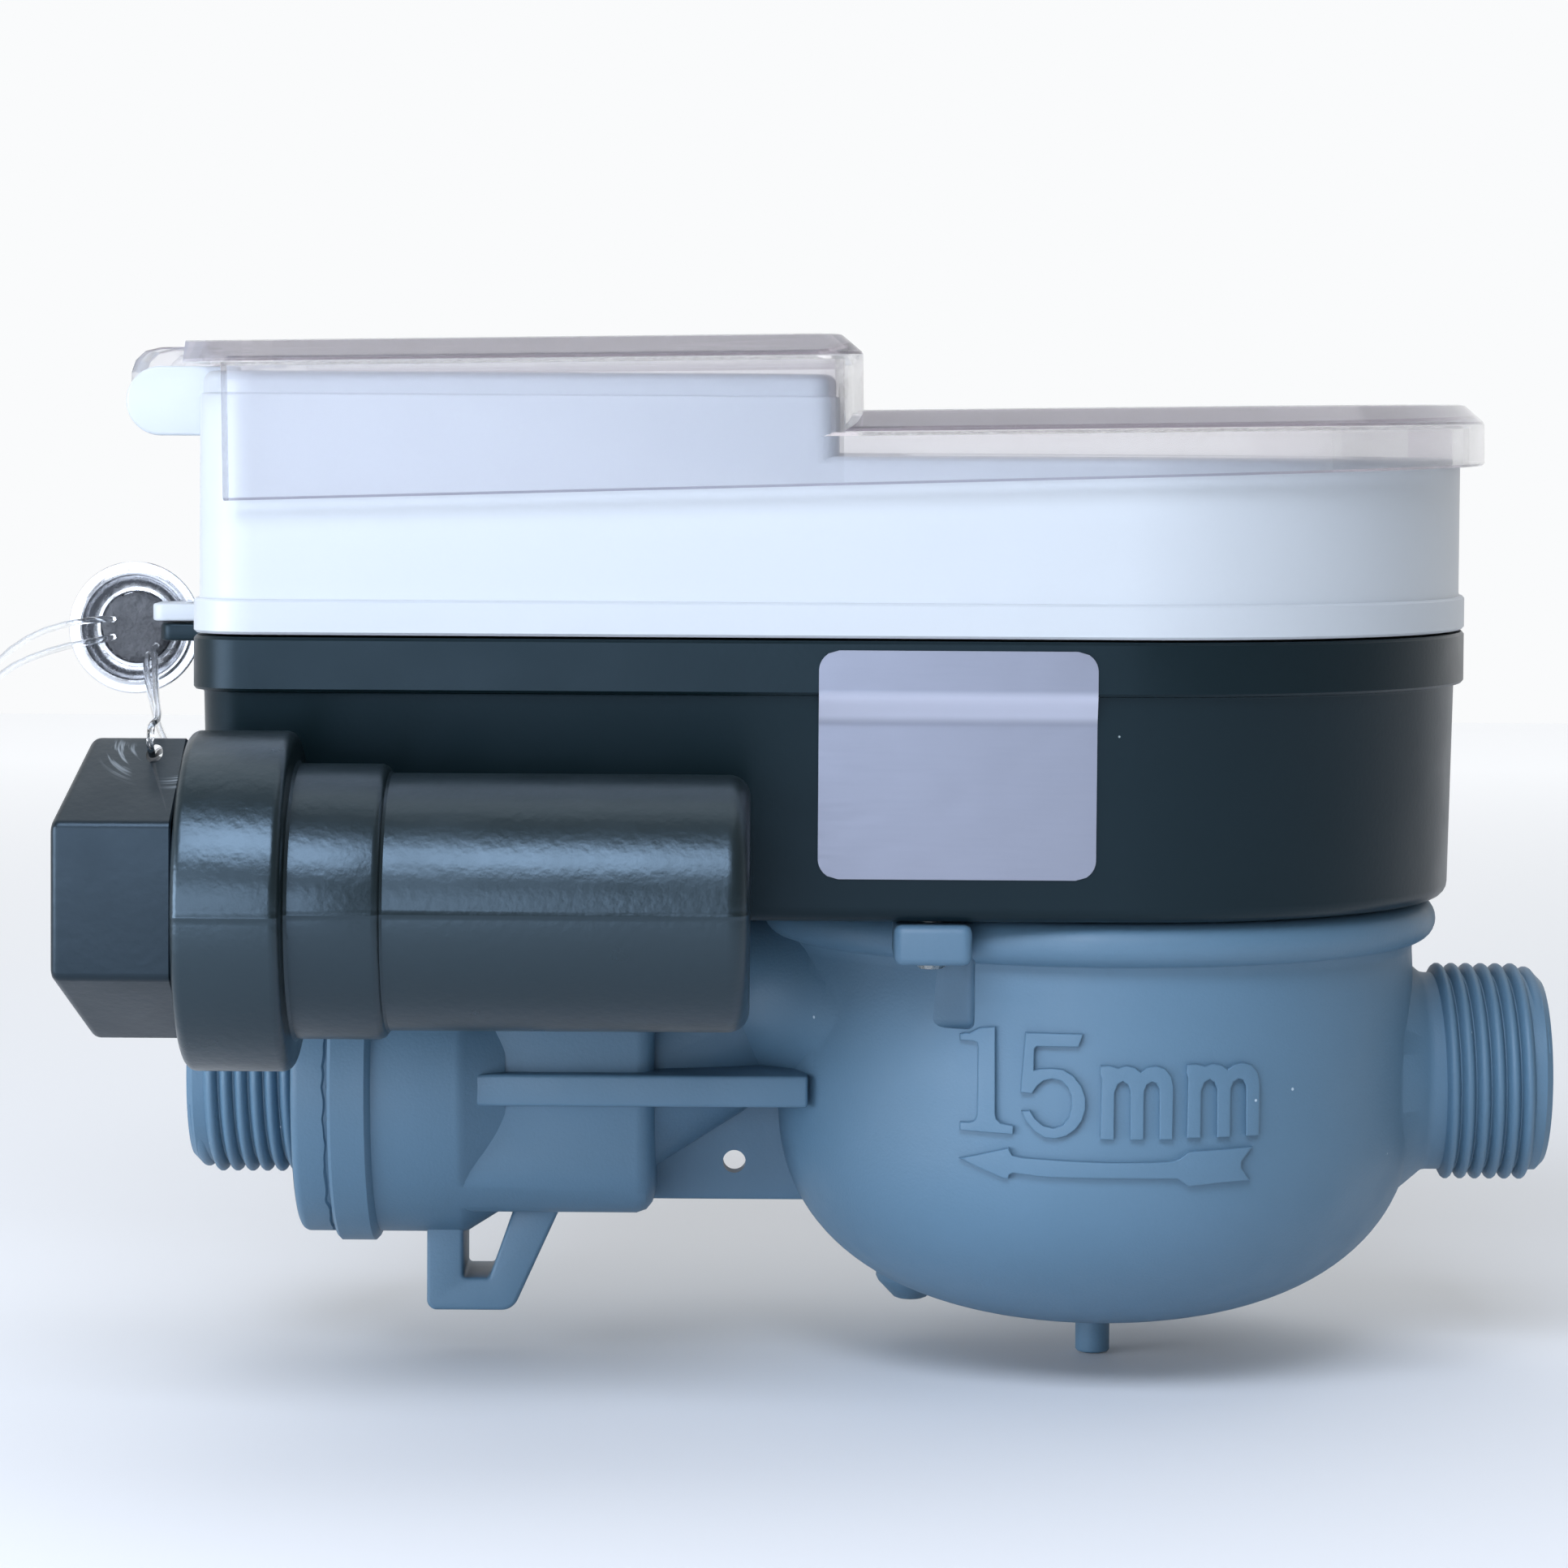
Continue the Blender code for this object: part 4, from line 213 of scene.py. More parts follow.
def specked(material, spacing_mm, size_mm, colour):
    """Add a few pale crumbs of dust or flash, set far apart."""
    tree = material.node_tree
    cells = add(tree, "ShaderNodeTexVoronoi", {"Vector": object_place(tree), "Scale": 1000 / spacing_mm,
                                               "Randomness": 1.0})
    size = size_mm / spacing_mm
    paint(tree, level(tree, cells.outputs["Distance"], size, 0.6 * size), colour)
    return material


def scuffed(material, centre, near, far):
    """Add pale curved rub marks in a ring of distances round a point, where a hanging seal has swung."""
    tree = material.node_tree
    place = object_place(tree)
    away = add(tree, "ShaderNodeVectorMath", {0: place, 1: centre}, operation="DISTANCE").outputs["Value"]
    ring = calc(tree, "MULTIPLY", level(tree, away, near, near + 0.0008),
                level(tree, away, far - 0.001, far, 1.0, 0.0))
    # Fine lines that follow the swing: noise that changes fast with distance and slowly along the arc
    lines = add(tree, "ShaderNodeCombineXYZ", {"X": calc(tree, "MULTIPLY", away, 2600.0)})
    mixed = add(tree, "ShaderNodeVectorMath", {0: place, 1: (140.0, 140.0, 140.0), 2: lines.outputs[0]},
                operation="MULTIPLY_ADD").outputs["Vector"]
    sharp = level(tree, mottle(tree, mixed, 1.0, 3.0), 0.54, 0.66)
    worn = level(tree, mottle(tree, place, 170.0, 1.0), 0.42, 0.60)
    paint(tree, calc(tree, "MULTIPLY", calc(tree, "MULTIPLY", ring, sharp), worn), "#8E969C")
    return material


def metal(name, colour, gloss, line_mm, depth, stretch=(1.0, 1.0, 1.0)):
    """Bare metal with fine drawn or pressed marks."""
    material, tree, place = start_material(name, colour, Metallic=1.0)
    stretched = add(tree, "ShaderNodeMapping", {"Vector": place, "Scale": stretch}).outputs["Vector"]
    marks = mottle(tree, stretched, 1000 / line_mm, 4.0)
    drive(tree, "Roughness", level(tree, marks, 0.3, 0.7, *gloss))
    emboss(tree, marks, 0.4, depth)
    return material


def reflection_band(material, middle, half, colour):
    """Add a pale level band round a height in metres: a painted reflection of bright floor light, where foil slopes
    down over an edge.
    """
    tree = material.node_tree
    height = add(tree, "ShaderNodeSeparateXYZ", {0: object_place(tree)}).outputs["Z"]
    away = calc(tree, "ABSOLUTE", calc(tree, "SUBTRACT", height, middle))
    # Painted reflection: the band is paler in colour, standing in for reflected floor light
    paint(tree, level(tree, away, 0.4 * half, half, 1.0, 0.0, "SMOOTHSTEP"), colour)
    return material


def clear_plastic(name, colour, ior, gloss, alpha=1.0):
    """Clear polished plastic with faint ripples from the mould.

    alpha below 1 lets light straight through, as thin walls do.
    """
    material, tree, place = start_material(name, colour, IOR=ior, Alpha=alpha, Transmission_Weight=1.0,
                                           Roughness=gloss)
    emboss(tree, mottle(tree, place, 90.0, 2.0), 0.25, 0.2)
    return material


# Glass-filled nylon of the body: grey-blue, dull, with a fine even grain about a fifth of a millimetre wide
body_nylon = specked(moulded("glass_filled_nylon", "#55758D", "#4E6E84", (0.46, 0.60), 0.35, 0.05, 26.0, IOR=1.53),
                     7.0, 0.22, "#B4C4D0")
# Blue cast in the shine of the black plastics
BLUED = shade("#BEDCF4")
# ABS of the case: near black, satin, with a fine leathery grain
case_abs = specked(moulded("black_abs", "#0A1619", "#0E1B1F", (0.30, 0.40), 0.6, 0.02, 40.0, IOR=1.54,
                           Specular_IOR_Level=0.30, Specular_Tint=BLUED), 9.0, 0.16, "#8A9699")
# The battery tube and cap came from a rougher mould, which leaves an orange-peel skin
tube_abs = moulded("orange_peel_abs", "#091111", "#0D1616", (0.27, 0.36), 1.1, 0.08, 30.0, IOR=1.54,
                   Specular_IOR_Level=0.88, Specular_Tint=BLUED)
# The cap is the same plastic, rubbed pale round the cord's hole by the swinging seal
cap_abs = scuffed(moulded("rubbed_abs", "#0A1116", "#0E171C", (0.28, 0.40), 1.1, 0.05, 30.0, IOR=1.54,
                          Specular_Tint=BLUED), (-0.1605, -0.0600, 0.0510), 0.0098, 0.0128)
# ABS of the housing: cool white with a soft satin
housing_abs = moulded("white_abs", "#BBC1C6", "#B4BAC0", (0.34, 0.44), 0.5, 0.01, 60.0, IOR=1.54)
# Natural acetal of the wet works and gears: creamy white, waxy
acetal = moulded("natural_acetal", "#E6E6DF", "#DEDED6", (0.36, 0.48), 0.4, 0.02, IOR=1.48)
rubber = moulded("nitrile_rubber", "#191919", "#222222", (0.60, 0.75), 0.3, 0.03, IOR=1.52)
ferrite = moulded("pressed_ferrite", "#3A3A3D", "#2F2F32", (0.50, 0.65), 0.2, 0.03)
board_mask = moulded("solder_mask", "#1F5B36", "#1A5030", (0.25, 0.35), 0.5, 0.01)
sleeve = moulded("shrink_sleeve", "#2D7A4A", "#276F42", (0.22, 0.32), 1.5, 0.02)
putty = moulded("sealing_putty", "#5E6064", "#46484C", (0.80, 0.95), 0.6, 0.5, 1.6)
steel = metal("bright_steel", "#BDBDB9", (0.22, 0.36), 0.4, 0.01)
brass = metal("plain_brass", "#C8A55A", (0.22, 0.34), 0.4, 0.01)
pressed_aluminium = metal("pressed_aluminium", "#D4D6DA", (0.18, 0.32), 1.2, 0.08)
# Vacuum-coated polyester label: dull silver with a violet cast, faintly brushed along the case,
# and a painted highlight: a pale band that stands in for floor light reflected where it slopes over the rim's edge
label_foil = reflection_band(metal("silver_foil", "#8E93A2", (0.34, 0.44), 0.5, 0.01, (0.08, 1.0, 1.0)),
                     0.0470, 0.0021, "#C0C4D4")
# Polycarbonate of the lid: clear with a faint violet tint in its thick edges
lid_polycarbonate = clear_plastic("clear_polycarbonate", "#A79FAB", 1.585, 0.08, 0.90)
# The same plastic in the lid's flat plates
plate_polycarbonate = clear_plastic("plate_polycarbonate", "#DAD5DE", 1.585, 0.04, 0.62)
# The same plastic in the lid's thin skirt: nearly invisible from the front
thin_polycarbonate = clear_plastic("thin_polycarbonate", "#EFEEF5", 1.585, 0.24, 0.42)
window_acrylic = clear_plastic("window_acrylic", "#F4F6F6", 1.49, 0.02)
# Nylon line of the seal: clear, shiny
cord_nylon = clear_plastic("nylon_line", "#F6F8FA", 1.53, 0.08)

SLOT_FINISH = {
    "body_nylon": body_nylon, "case_black": case_abs, "housing_white": housing_abs, "lid_clear": window_acrylic,
    "acetal": acetal, "rubber": rubber, "steel": steel, "brass": brass, "ferrite": ferrite,
    "circuit_board": board_mask, "seal_aluminium": pressed_aluminium, "putty": putty, "cord_nylon": cord_nylon,
    "cell_sleeve": sleeve}
for row in frame["record"]["subparts"]:
    solid = frame["nodes"][row["node"]]
    for place in solid.material_slots:
        place.material = SLOT_FINISH[row["material_slot"]]


# Shapes

def make_thing(name, shape):
    """Object from a bmesh whose faces point out."""
    bmesh.ops.recalc_face_normals(shape, faces=shape.faces)
    mesh = bpy.data.meshes.new(name)
    shape.to_mesh(mesh)
    shape.free()
    return placed(name, mesh)


@contextmanager
def editing(mesh):
    """Open a mesh as a bmesh, and write it back at the end."""
    shape = bmesh.new()
    shape.from_mesh(mesh)
    yield shape
    shape.to_mesh(mesh)
    shape.free()


def skin(name, rings, closed=False):
    """Solid skinned over rings of equal length. Closed rings join the last to the first, without ends."""
    shape = bmesh.new()
    rows = [[shape.verts.new(point) for point in ring] for ring in rings]
    count = len(rows[0])
    for low, high in zip(rows, rows[1:] + (rows[:1] if closed else [])):
        for i in range(count):
            j = (i + 1) % count
            shape.faces.new((low[i], low[j], high[j], high[i]))
    if not closed:
        shape.faces.new(list(reversed(rows[0])))
        shape.faces.new(rows[-1])
    return make_thing(name, shape)


def plate(name, outline, low, high, place=None):
    """Flat outline given a thickness."""
    thing = skin(name, [[(x, y, z) for x, y in outline] for z in (low, high)])
    if place:
        thing.data.transform(place)
    return thing


def along_x(x=0.0, y=0.0, z=0.0):
    """Matrix whose local Z runs along X, from a place."""
    return Matrix.Translation((x, y, z)) @ Matrix.Rotation(math.pi / 2, 4, "Y")


def forward(x=0.0, y=0.0, z=0.0):
    """Matrix whose local Z runs to the front, from a place."""
    return Matrix.Translation((x, y, z)) @ Matrix.Rotation(math.pi / 2, 4, "X")


def arc(x, y, radius, first, last, steps):
    """Points of an arc round (x, y), between two angles in degrees."""
    angles = [math.radians(first + (last - first) * i / steps) for i in range(steps + 1)]
    return [(x + radius * math.cos(a), y + radius * math.sin(a)) for a in angles]


def turned(name, profile, place=None, steps=128, ridge=None):
    """Solid turned about local Z. A ridge is (angle, width, height) of a thin raised line along it."""
    angles = [2 * math.pi * i / steps for i in range(steps)]
    raised = {}
    if ridge:
        middle, width, height = ridge
        marks = [middle - width, middle - width * 0.4, middle + width * 0.4, middle + width]
        angles = sorted([a for a in angles if abs(a - middle) > width * 1.2] + marks)
        raised = {marks[1]: height, marks[2]: height}
    shape = bmesh.new()
    rows = []
    for radius, height in profile:
        if radius <= 0:
            rows.append([shape.verts.new((0, 0, height))])
            continue
        rows.append([shape.verts.new(((radius + raised.get(a, 0)) * math.cos(a),
                                      (radius + raised.get(a, 0)) * math.sin(a), height)) for a in angles])
    for here, there in zip(rows, rows[1:] + rows[:1]):
        for i in range(len(angles)):
            j = (i + 1) % len(angles)
            corners = [here[i % len(here)], here[j % len(here)],
                       there[j % len(there)], there[i % len(there)]]
            face = list(dict.fromkeys(corners))
            if len(face) > 2:
                shape.faces.new(face)
    thing = make_thing(name, shape)
    if place:
        thing.data.transform(place)
    return thing


def rod(name, radius, start, end, steps=48):
    """Plain cylinder between two points."""
    axis = Vector(end) - Vector(start)
    turn = Vector((0, 0, 1)).rotation_difference(axis).to_matrix().to_4x4()
    profile = [(0, 0), (radius, 0), (radius, axis.length), (0, axis.length)]
    return turned(name, profile, Matrix.Translation(start) @ turn, steps)


def block(name, low, high):
    """Box between two corners."""
    outline = [(low[0], low[1]), (high[0], low[1]), (high[0], high[1]), (low[0], high[1])]
    return plate(name, outline, low[2], high[2])


def settled(thing):
    """Put the result of the object's modifiers into its mesh."""
    bpy.context.view_layer.update()
    graph = bpy.context.evaluated_depsgraph_get()
    mesh = bpy.data.meshes.new_from_object(thing.evaluated_get(graph))
    thing.modifiers.clear()
    thing.data = mesh
    return thing


def applied(thing, kind, **settings):
    """Change the mesh by one modifier."""
    change = thing.modifiers.new("change", kind)
    for field, value in settings.items():
        setattr(change, field, value)
    return settled(thing)


def soften(thing, width, segments=3, angle=30):
    """Round the edges sharper than an angle."""
    return applied(thing, "BEVEL", width=width, segments=segments, limit_method="ANGLE",
                   angle_limit=math.radians(angle), miter_outer="MITER_ARC", use_clamp_overlap=True)


def combine(target, operation, *tools):
    """Join tools to a solid, or cut them out, and take them away."""
    for tool in tools:
        applied(target, "BOOLEAN", operation=operation, object=tool, solver="EXACT")
        with editing(target.data) as shape:
            bmesh.ops.remove_doubles(shape, verts=shape.verts, dist=0.0005)
        bpy.data.objects.remove(tool, do_unlink=True)
    return target


def gathered(name, things):
    """Several closed shapes in one mesh."""
    shape = bmesh.new()
    for thing in things:
        shape.from_mesh(thing.data)
        bpy.data.objects.remove(thing, do_unlink=True)
    mesh = bpy.data.meshes.new(name)
    shape.to_mesh(mesh)
    shape.free()
    return placed(name, mesh)


def dress(thing, body, slot, finish, *solids, crease=32):
    """Finish a piece: metres, material, smooth faces with real edges kept, and the body that it rides on."""
    thing.data.transform(Matrix.Scale(0.001, 4))
    if finish:
        thing.data.materials.clear()
        thing.data.materials.append(finish)
    thing.data.shade_smooth()
    thing.data.set_sharp_from_angle(angle=math.radians(crease))
    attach(thing, body)
    if solids:
        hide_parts(*solids)
    return thing


def rounded(corners, steps=8):
    """Closed outline through (x, y, radius) corners, each turned into an arc."""
    points = []
    for i, (x, y, radius) in enumerate(corners):
        here = Vector((x, y))
        if radius <= 0:
            points.append(here)
            continue
        back = (Vector(corners[i - 1][:2]) - here).normalized()
        ahead = (Vector(corners[(i + 1) % len(corners)][:2]) - here).normalized()
        half = back.angle(ahead) / 2
        centre = here + (back + ahead).normalized() * radius / math.sin(half)
        start = here + back * radius / math.tan(half) - centre
        end = here + ahead * radius / math.tan(half) - centre
        first = math.atan2(start.y, start.x)
        sweep = (math.atan2(end.y, end.x) - first + math.pi) % (2 * math.pi) - math.pi
        for step in range(steps + 1):
            angle = first + sweep * step / steps
            points.append(centre + Vector((math.cos(angle), math.sin(angle))) * radius)
    apart = [p for i, p in enumerate(points) if (p - points[i - 1]).length > 1e-4]
    return [(p.x, p.y) for p in apart]


def rounded_box(left, right, half_width, corner, steps=8):
    """Box outline, even about its own X axis, with four round corners."""
    return rounded([(left, -half_width, corner), (right, -half_width, corner),
                    (right, half_width, corner), (left, half_width, corner)], steps)


def case_plan(inset, left=CASE_LEFT, right=None):
    """Plan of the case: a round end about the bowl's axis and a square end on the left."""
    half = CASE_HALF - inset
    corner = max(CASE_CORNER - inset, 1.2)
    end, end_radius = (BOWL_X + half, half) if right is None else (right, 3.0)
    corner_arc = rounded([(left + inset, 0, 0), (left + inset, -half, corner), (end, -half, 0)], 12)[1:-1]
    end_steps = 56 if right is None else 8
    end_arc = rounded([(left, -half, 0), (end, -half, end_radius), (end, 0, 0)], end_steps)[1:]
    front = [(left + inset, 0)] + corner_arc + end_arc
    outline = front + [(x, -y) for x, y in reversed(front)]
    return [p for i, p in enumerate(outline) if math.dist(p, outline[i - 1]) > 1e-4]


def storeys(name, levels, left=CASE_LEFT, right=None):
    """Solid of the case's plan through (inset, height) levels; a right end moves in with the inset."""
    rings = []
    for inset, height in levels:
        end = None if right is None else right - (inset - levels[0][0])
        rings.append([(x, y, height) for x, y in case_plan(inset, left, end)])
    return skin(name, rings)


# Meter body

def bowl_radius(height):
    """Outer radius of the bowl at a height."""
    if height >= -BOWL_BELLY:
        share = (height - 2) / (16.3 - 2)
        if share > 0:
            return BOWL_RADIUS + (BOWL_RIM - BOWL_RADIUS) * min(share, 1)
        return BOWL_RADIUS
    depth = BOWL_DEPTH - BOWL_BELLY
    sine = min(((-BOWL_BELLY - height) / depth) ** (BOWL_FULLNESS / 2), 1)
    return BOWL_RADIUS * math.sqrt(1 - sine ** 2) ** (2 / BOWL_FULLNESS)


def bowl_profile():
    """Outer half-section of the bowl, from its rim down to the axis."""
    bead = BEAD_HEIGHT / 2
    points = [(0, BOWL_TOP), (BEAD_RADIUS - bead, BOWL_TOP)]
    points += arc(BEAD_RADIUS - bead, BOWL_TOP - bead, bead, 90, -90, 14)[1:-1]
    points += [(BOWL_RIM + 0.25, BOWL_TOP - BEAD_HEIGHT), (BOWL_RIM + 0.02, 16.1), (BOWL_RIM, 15.6)]
    points += [(bowl_radius(h), h) for h in (14.0, 12.0, 10.0, 8.0, 6.0, 4.0, 2.0, 0.5, -1.0, -2.0, -BOWL_BELLY)]
    depth = BOWL_DEPTH - BOWL_BELLY
    for step in range(1, 33):
        angle = math.pi / 2 * step / 32
        radius = BOWL_RADIUS * math.cos(angle) ** (2 / BOWL_FULLNESS)
        drop = depth * math.sin(angle) ** (2 / BOWL_FULLNESS)
        points.append((radius if step < 32 else 0, -BOWL_BELLY - drop))
    return points


def inlet_neck():
    """Thread stub, the cone behind it and the bore with its rounded mouth."""
    profile = [(BORE, -13.4), (BORE, -0.5), (BORE + 0.15, -0.15), (BORE + 0.5, 0), (THREAD_ROOT - 0.8, 0),
               (THREAD_ROOT, -0.8), (THREAD_ROOT, -THREAD_REACH + 0.3), (12.15, -14.7), (12.4, -15.1),
               (12.75, -15.5), (15.3, -18.6), (15.7, -19.1), (21.2, -26.5), (0, -26.5), (0, -13.4)]
    return turned("inlet_neck", profile, along_x())


def valve_shell():
    """Barrel with its end ring, the squared chamber, the stem tower and its flange."""
    barrel = turned("valve_barrel", [
        (0, -27.7), (21.1, -27.7), (21.5, -27.3), (21.5, -23.3), (21.1, -22.9), (20.4, -22.6), (20.4, -12.6),
        (20.2, -11.9), (19.8, -11.3), (17.0, -6.8), (0, -6.8)], along_x(VALVE_X), 144)
    levels = [(-22.4, 0.0), (8.8, 0.0), (10.0, 0.4), (10.7, 1.2), (11.0, 2.2)]
    chamber = skin("valve_chamber", [
        [(VALVE_X + x, y, z) for y, z in rounded_box(-16.6 + inset, 16.6 - inset, 16.6 - inset, 7.5 - inset / 2)]
        for x, inset in levels])
    tower = soften(plate("stem_tower", rounded_box(VALVE_X - 9.5, VALVE_X + 10.3, 14.0, 5.0), 2.0, 20.0), 0.3)
    flange = soften(plate("tower_flange", rounded_box(VALVE_X - 10.2, VALVE_X + 10.65, 23.0, 5.0), 18.0, 22.0), 0.6)
    return [barrel, chamber, tower, flange]


def loop_foot():
    """Open loop under the barrel: an upright leg, a bar and a slanted leg."""
    outer = rounded([(-16.9, -29.4, 1.2), (-6.4, -29.4, 2.2), (-0.5, -16.4, 0), (-16.9, -16.4, 0)])
    inner = rounded([(-12.5, -25.4, 0.5), (-9.3, -25.4, 0.5), (-5.8, -15.4, 0), (-12.5, -15.4, 0)])
    foot = plate("loop_foot", outer, -6.0, 6.0, forward(VALVE_X))
    return soften(combine(foot, "DIFFERENCE", plate("opening", inner, -12.0, 12.0, forward(VALVE_X))), 0.7)


def outlet_neck():
    """Neck that climbs from the valve to the bowl, with its side rib and the gusset that has a tie hole."""
    start, end = VALVE_X + 9.0, BOWL_X - 36.0
    neck = skin("outlet_neck", [[(x, y, z) for y, z in arc(0, rise, radius, 0, 360, 96)[:-1]]
                                for x, rise, radius in ((start, 0.0, 13.4), (end, 9.0, 9.8))])
    rib = soften(block("side_rib", (VALVE_X - 10.2, -19.0, -2.4), (BOWL_X - 35.4, 19.0, 1.4)), 0.45)
    gusset = soften(block("gusset", (start, -1.5, -16.3), (BOWL_X - 30.0, 1.5, 2.0)), 0.35)
    hole = rod("tie_hole", 1.4, (-98.9, -10, -11.6), (-98.9, 10, -11.6))
    return [neck, outlet_shoulder(), rib, combine(gusset, "DIFFERENCE", hole)]


def outlet_shoulder():
    """Broad hollow fillet between the outlet neck and the bowl, above the rib."""
    rings = []
    for x, reach in ((-107.0, 10.2), (-101.0, 10.6), (-98.0, 11.4), (-95.0, 13.0), (-92.5, 15.1), (-90.0, 17.9),
                     (-88.0, 20.4), (-86.0, 22.5), (-83.0, 24.5)):
        tall = 10.4 + (x + 107.0) * 0.1
        rings.append([(x, across * reach, 9.0 + up * tall) for across, up in arc(0, 0, 1, 0, 360, 64)[:-1]])
    return combine(skin("outlet_shoulder", rings), "DIFFERENCE", block("trim", (-112, -40, -12), (-80, 40, 0.0)))


def lugs():
    """Screw lugs at the front and back of the bowl, with the step between bead and lug."""
    for side in (-1, 1):
        corners = [(-80.45, side * 42.8, 1.2), (-80.45, side * 10.7, 0), (-71.55, side * 10.7, 0),
                   (-71.55, side * 42.8, 1.2)]
        yield soften(plate("lug", rounded(corners), BOWL_TOP - 4.6, BOWL_TOP), 0.9)


def make_body():
    """Finely turned and rounded body over the meter_body solid."""
    bowl = turned("body_shell", bowl_profile(), Matrix.Translation((BOWL_X, 0, 0)), 160)
    for side in (-1, 1):
        notch = soften(block("notch", (-84.9, min(side * 32.5, side * 46), 9.2),
                             (-70.9, max(side * 32.5, side * 46), 17.9)), 0.9)
        combine(bowl, "DIFFERENCE", notch)
    peg = soften(rod("peg_foot", 2.1, (BOWL_X, 0, -35.0), (BOWL_X, 0, -28.0)), 0.4)
    boss = turned("drain_boss", [(0, -30.8), (1.6, -30.8), (2.1, -30.6), (4.0, -28.6), (4.3, -28.0), (4.3, -16),
                                 (0, -16)], Matrix.Translation((-76.8, 12.0, 0)), 64)
    combine(bowl, "UNION", inlet_neck(), *outlet_neck(), *valve_shell(), loop_foot(), peg, boss, *lugs())
    return dress(bowl, "meter", "body_nylon", body_nylon, "meter_body")


def make_outlet_end():
    """Threaded end that closes the valve body, with the rough joint line behind its disc."""
    left, ring = -45.6, -28.0
    disc = ring - 4.2
    profile = [(BORE, ring), (BORE, left + 0.5), (BORE + 0.5, left), (THREAD_ROOT - 0.8, left),
               (THREAD_ROOT, left + 0.8), (THREAD_ROOT, disc - 0.6), (THREAD_ROOT + 0.6, disc), (19.6, disc)]
    profile += arc(19.4, disc + 1.0, 1.0, -90, 0, 6)
    profile += [(20.4, ring - 0.25), (20.1, ring), (20.1, ring + 0.4), (BORE, ring + 0.4)]
    thing = turned("outlet_end", profile, along_x(VALVE_X), 160)
    # The two halves were cut and glued by hand, so the joint wanders a little
    for vert in thing.data.vertices:
        if vert.co.x > VALVE_X + ring - 0.5 and math.hypot(vert.co.y, vert.co.z) > 19.9:
            vert.co.x += 0.5 * noise.noise(Vector((vert.co.y, vert.co.z, 4.0)) * 0.55) - 0.1
    return dress(thing, "meter", "body_nylon", body_nylon, "outlet_end_fitting")


def thread_tree():
    """Tree that sweeps a ridge along a helix about Z: wide and sunk at its foot, narrow at its crest."""
    tree = bpy.data.node_groups.new("pipe_thread", "GeometryNodeTree")
    for name, kind in (("Root radius", "Float"), ("Crest height", "Float"), ("Pitch", "Float"), ("Turns", "Float"),
                       ("Fade turns", "Float"), ("Steps per turn", "Int"), ("Finish", "Material")):
        tree.interface.new_socket(name, in_out="INPUT", socket_type="NodeSocket" + kind)
    tree.interface.new_socket("Thread", in_out="OUTPUT", socket_type="NodeSocketGeometry")
    given = add(tree, "NodeGroupInput").outputs

    # A row of cross-sections, one for each step along the helix, with eight corners each
    steps = calc(tree, "MULTIPLY", given["Turns"], given["Steps per turn"])
    count = add(tree, "FunctionNodeFloatToInt", {0: steps}, rounding_mode="ROUND").outputs[0]
    rows = add(tree, "FunctionNodeFloatToInt", {0: calc(tree, "ADD", count, 1.0)}, rounding_mode="ROUND").outputs[0]
    sheet = add(tree, "GeometryNodeMeshGrid", {"Vertices X": 8, "Vertices Y": rows, "Size X": 7.0})
    index = add(tree, "GeometryNodeInputIndex").outputs[0]
    corner = calc(tree, "FLOOR", calc(tree, "DIVIDE", index, rows))
    step = calc(tree, "MODULO", index, rows)
    turn = calc(tree, "DIVIDE", step, given["Steps per turn"])
    # The ridge rises out of the stub over the first part of a turn and sinks back at the end
    rise = calc(tree, "MINIMUM", calc(tree, "DIVIDE", turn, given["Fade turns"]), 1.0)
    left = calc(tree, "SUBTRACT", given["Turns"], turn)
    fall = calc(tree, "MINIMUM", calc(tree, "DIVIDE", left, given["Fade turns"]), 1.0)
    fade = calc(tree, "MINIMUM", rise, fall)

    def by_corner(values):
        total = 0.0
        for number, value in enumerate(values):
            here = calc(tree, "COMPARE", corner, float(number), 0.1)
            total = calc(tree, "MULTIPLY_ADD", here, value, total)
        return total

    across = by_corner((-0.50, -0.36, -0.22, -0.08, 0.08, 0.22, 0.36, 0.50))
    height = by_corner((-0.15, 0.42, 0.84, 1.0, 1.0, 0.84, 0.42, -0.15))
    height = calc(tree, "SUBTRACT", calc(tree, "MULTIPLY", calc(tree, "ADD", height, 0.30), fade), 0.30)
    radius = calc(tree, "MULTIPLY_ADD", height, given["Crest height"], given["Root radius"])
    angle = calc(tree, "MULTIPLY", turn, 2 * math.pi)
    along = calc(tree, "MULTIPLY", calc(tree, "ADD", turn, across), given["Pitch"])
    place = add(tree, "ShaderNodeCombineXYZ", {
        "X": calc(tree, "MULTIPLY", radius, calc(tree, "COSINE", angle)),
        "Y": calc(tree, "MULTIPLY", radius, calc(tree, "SINE", angle)), "Z": along}).outputs[0]
    bent = add(tree, "GeometryNodeSetPosition", {"Geometry": sheet.outputs["Mesh"], "Position": place})
    finished = add(tree, "GeometryNodeSetMaterial", {"Geometry": bent.outputs[0], "Material": given["Finish"]})
    add(tree, "NodeGroupOutput", {"Thread": finished.outputs[0]})
    return tree


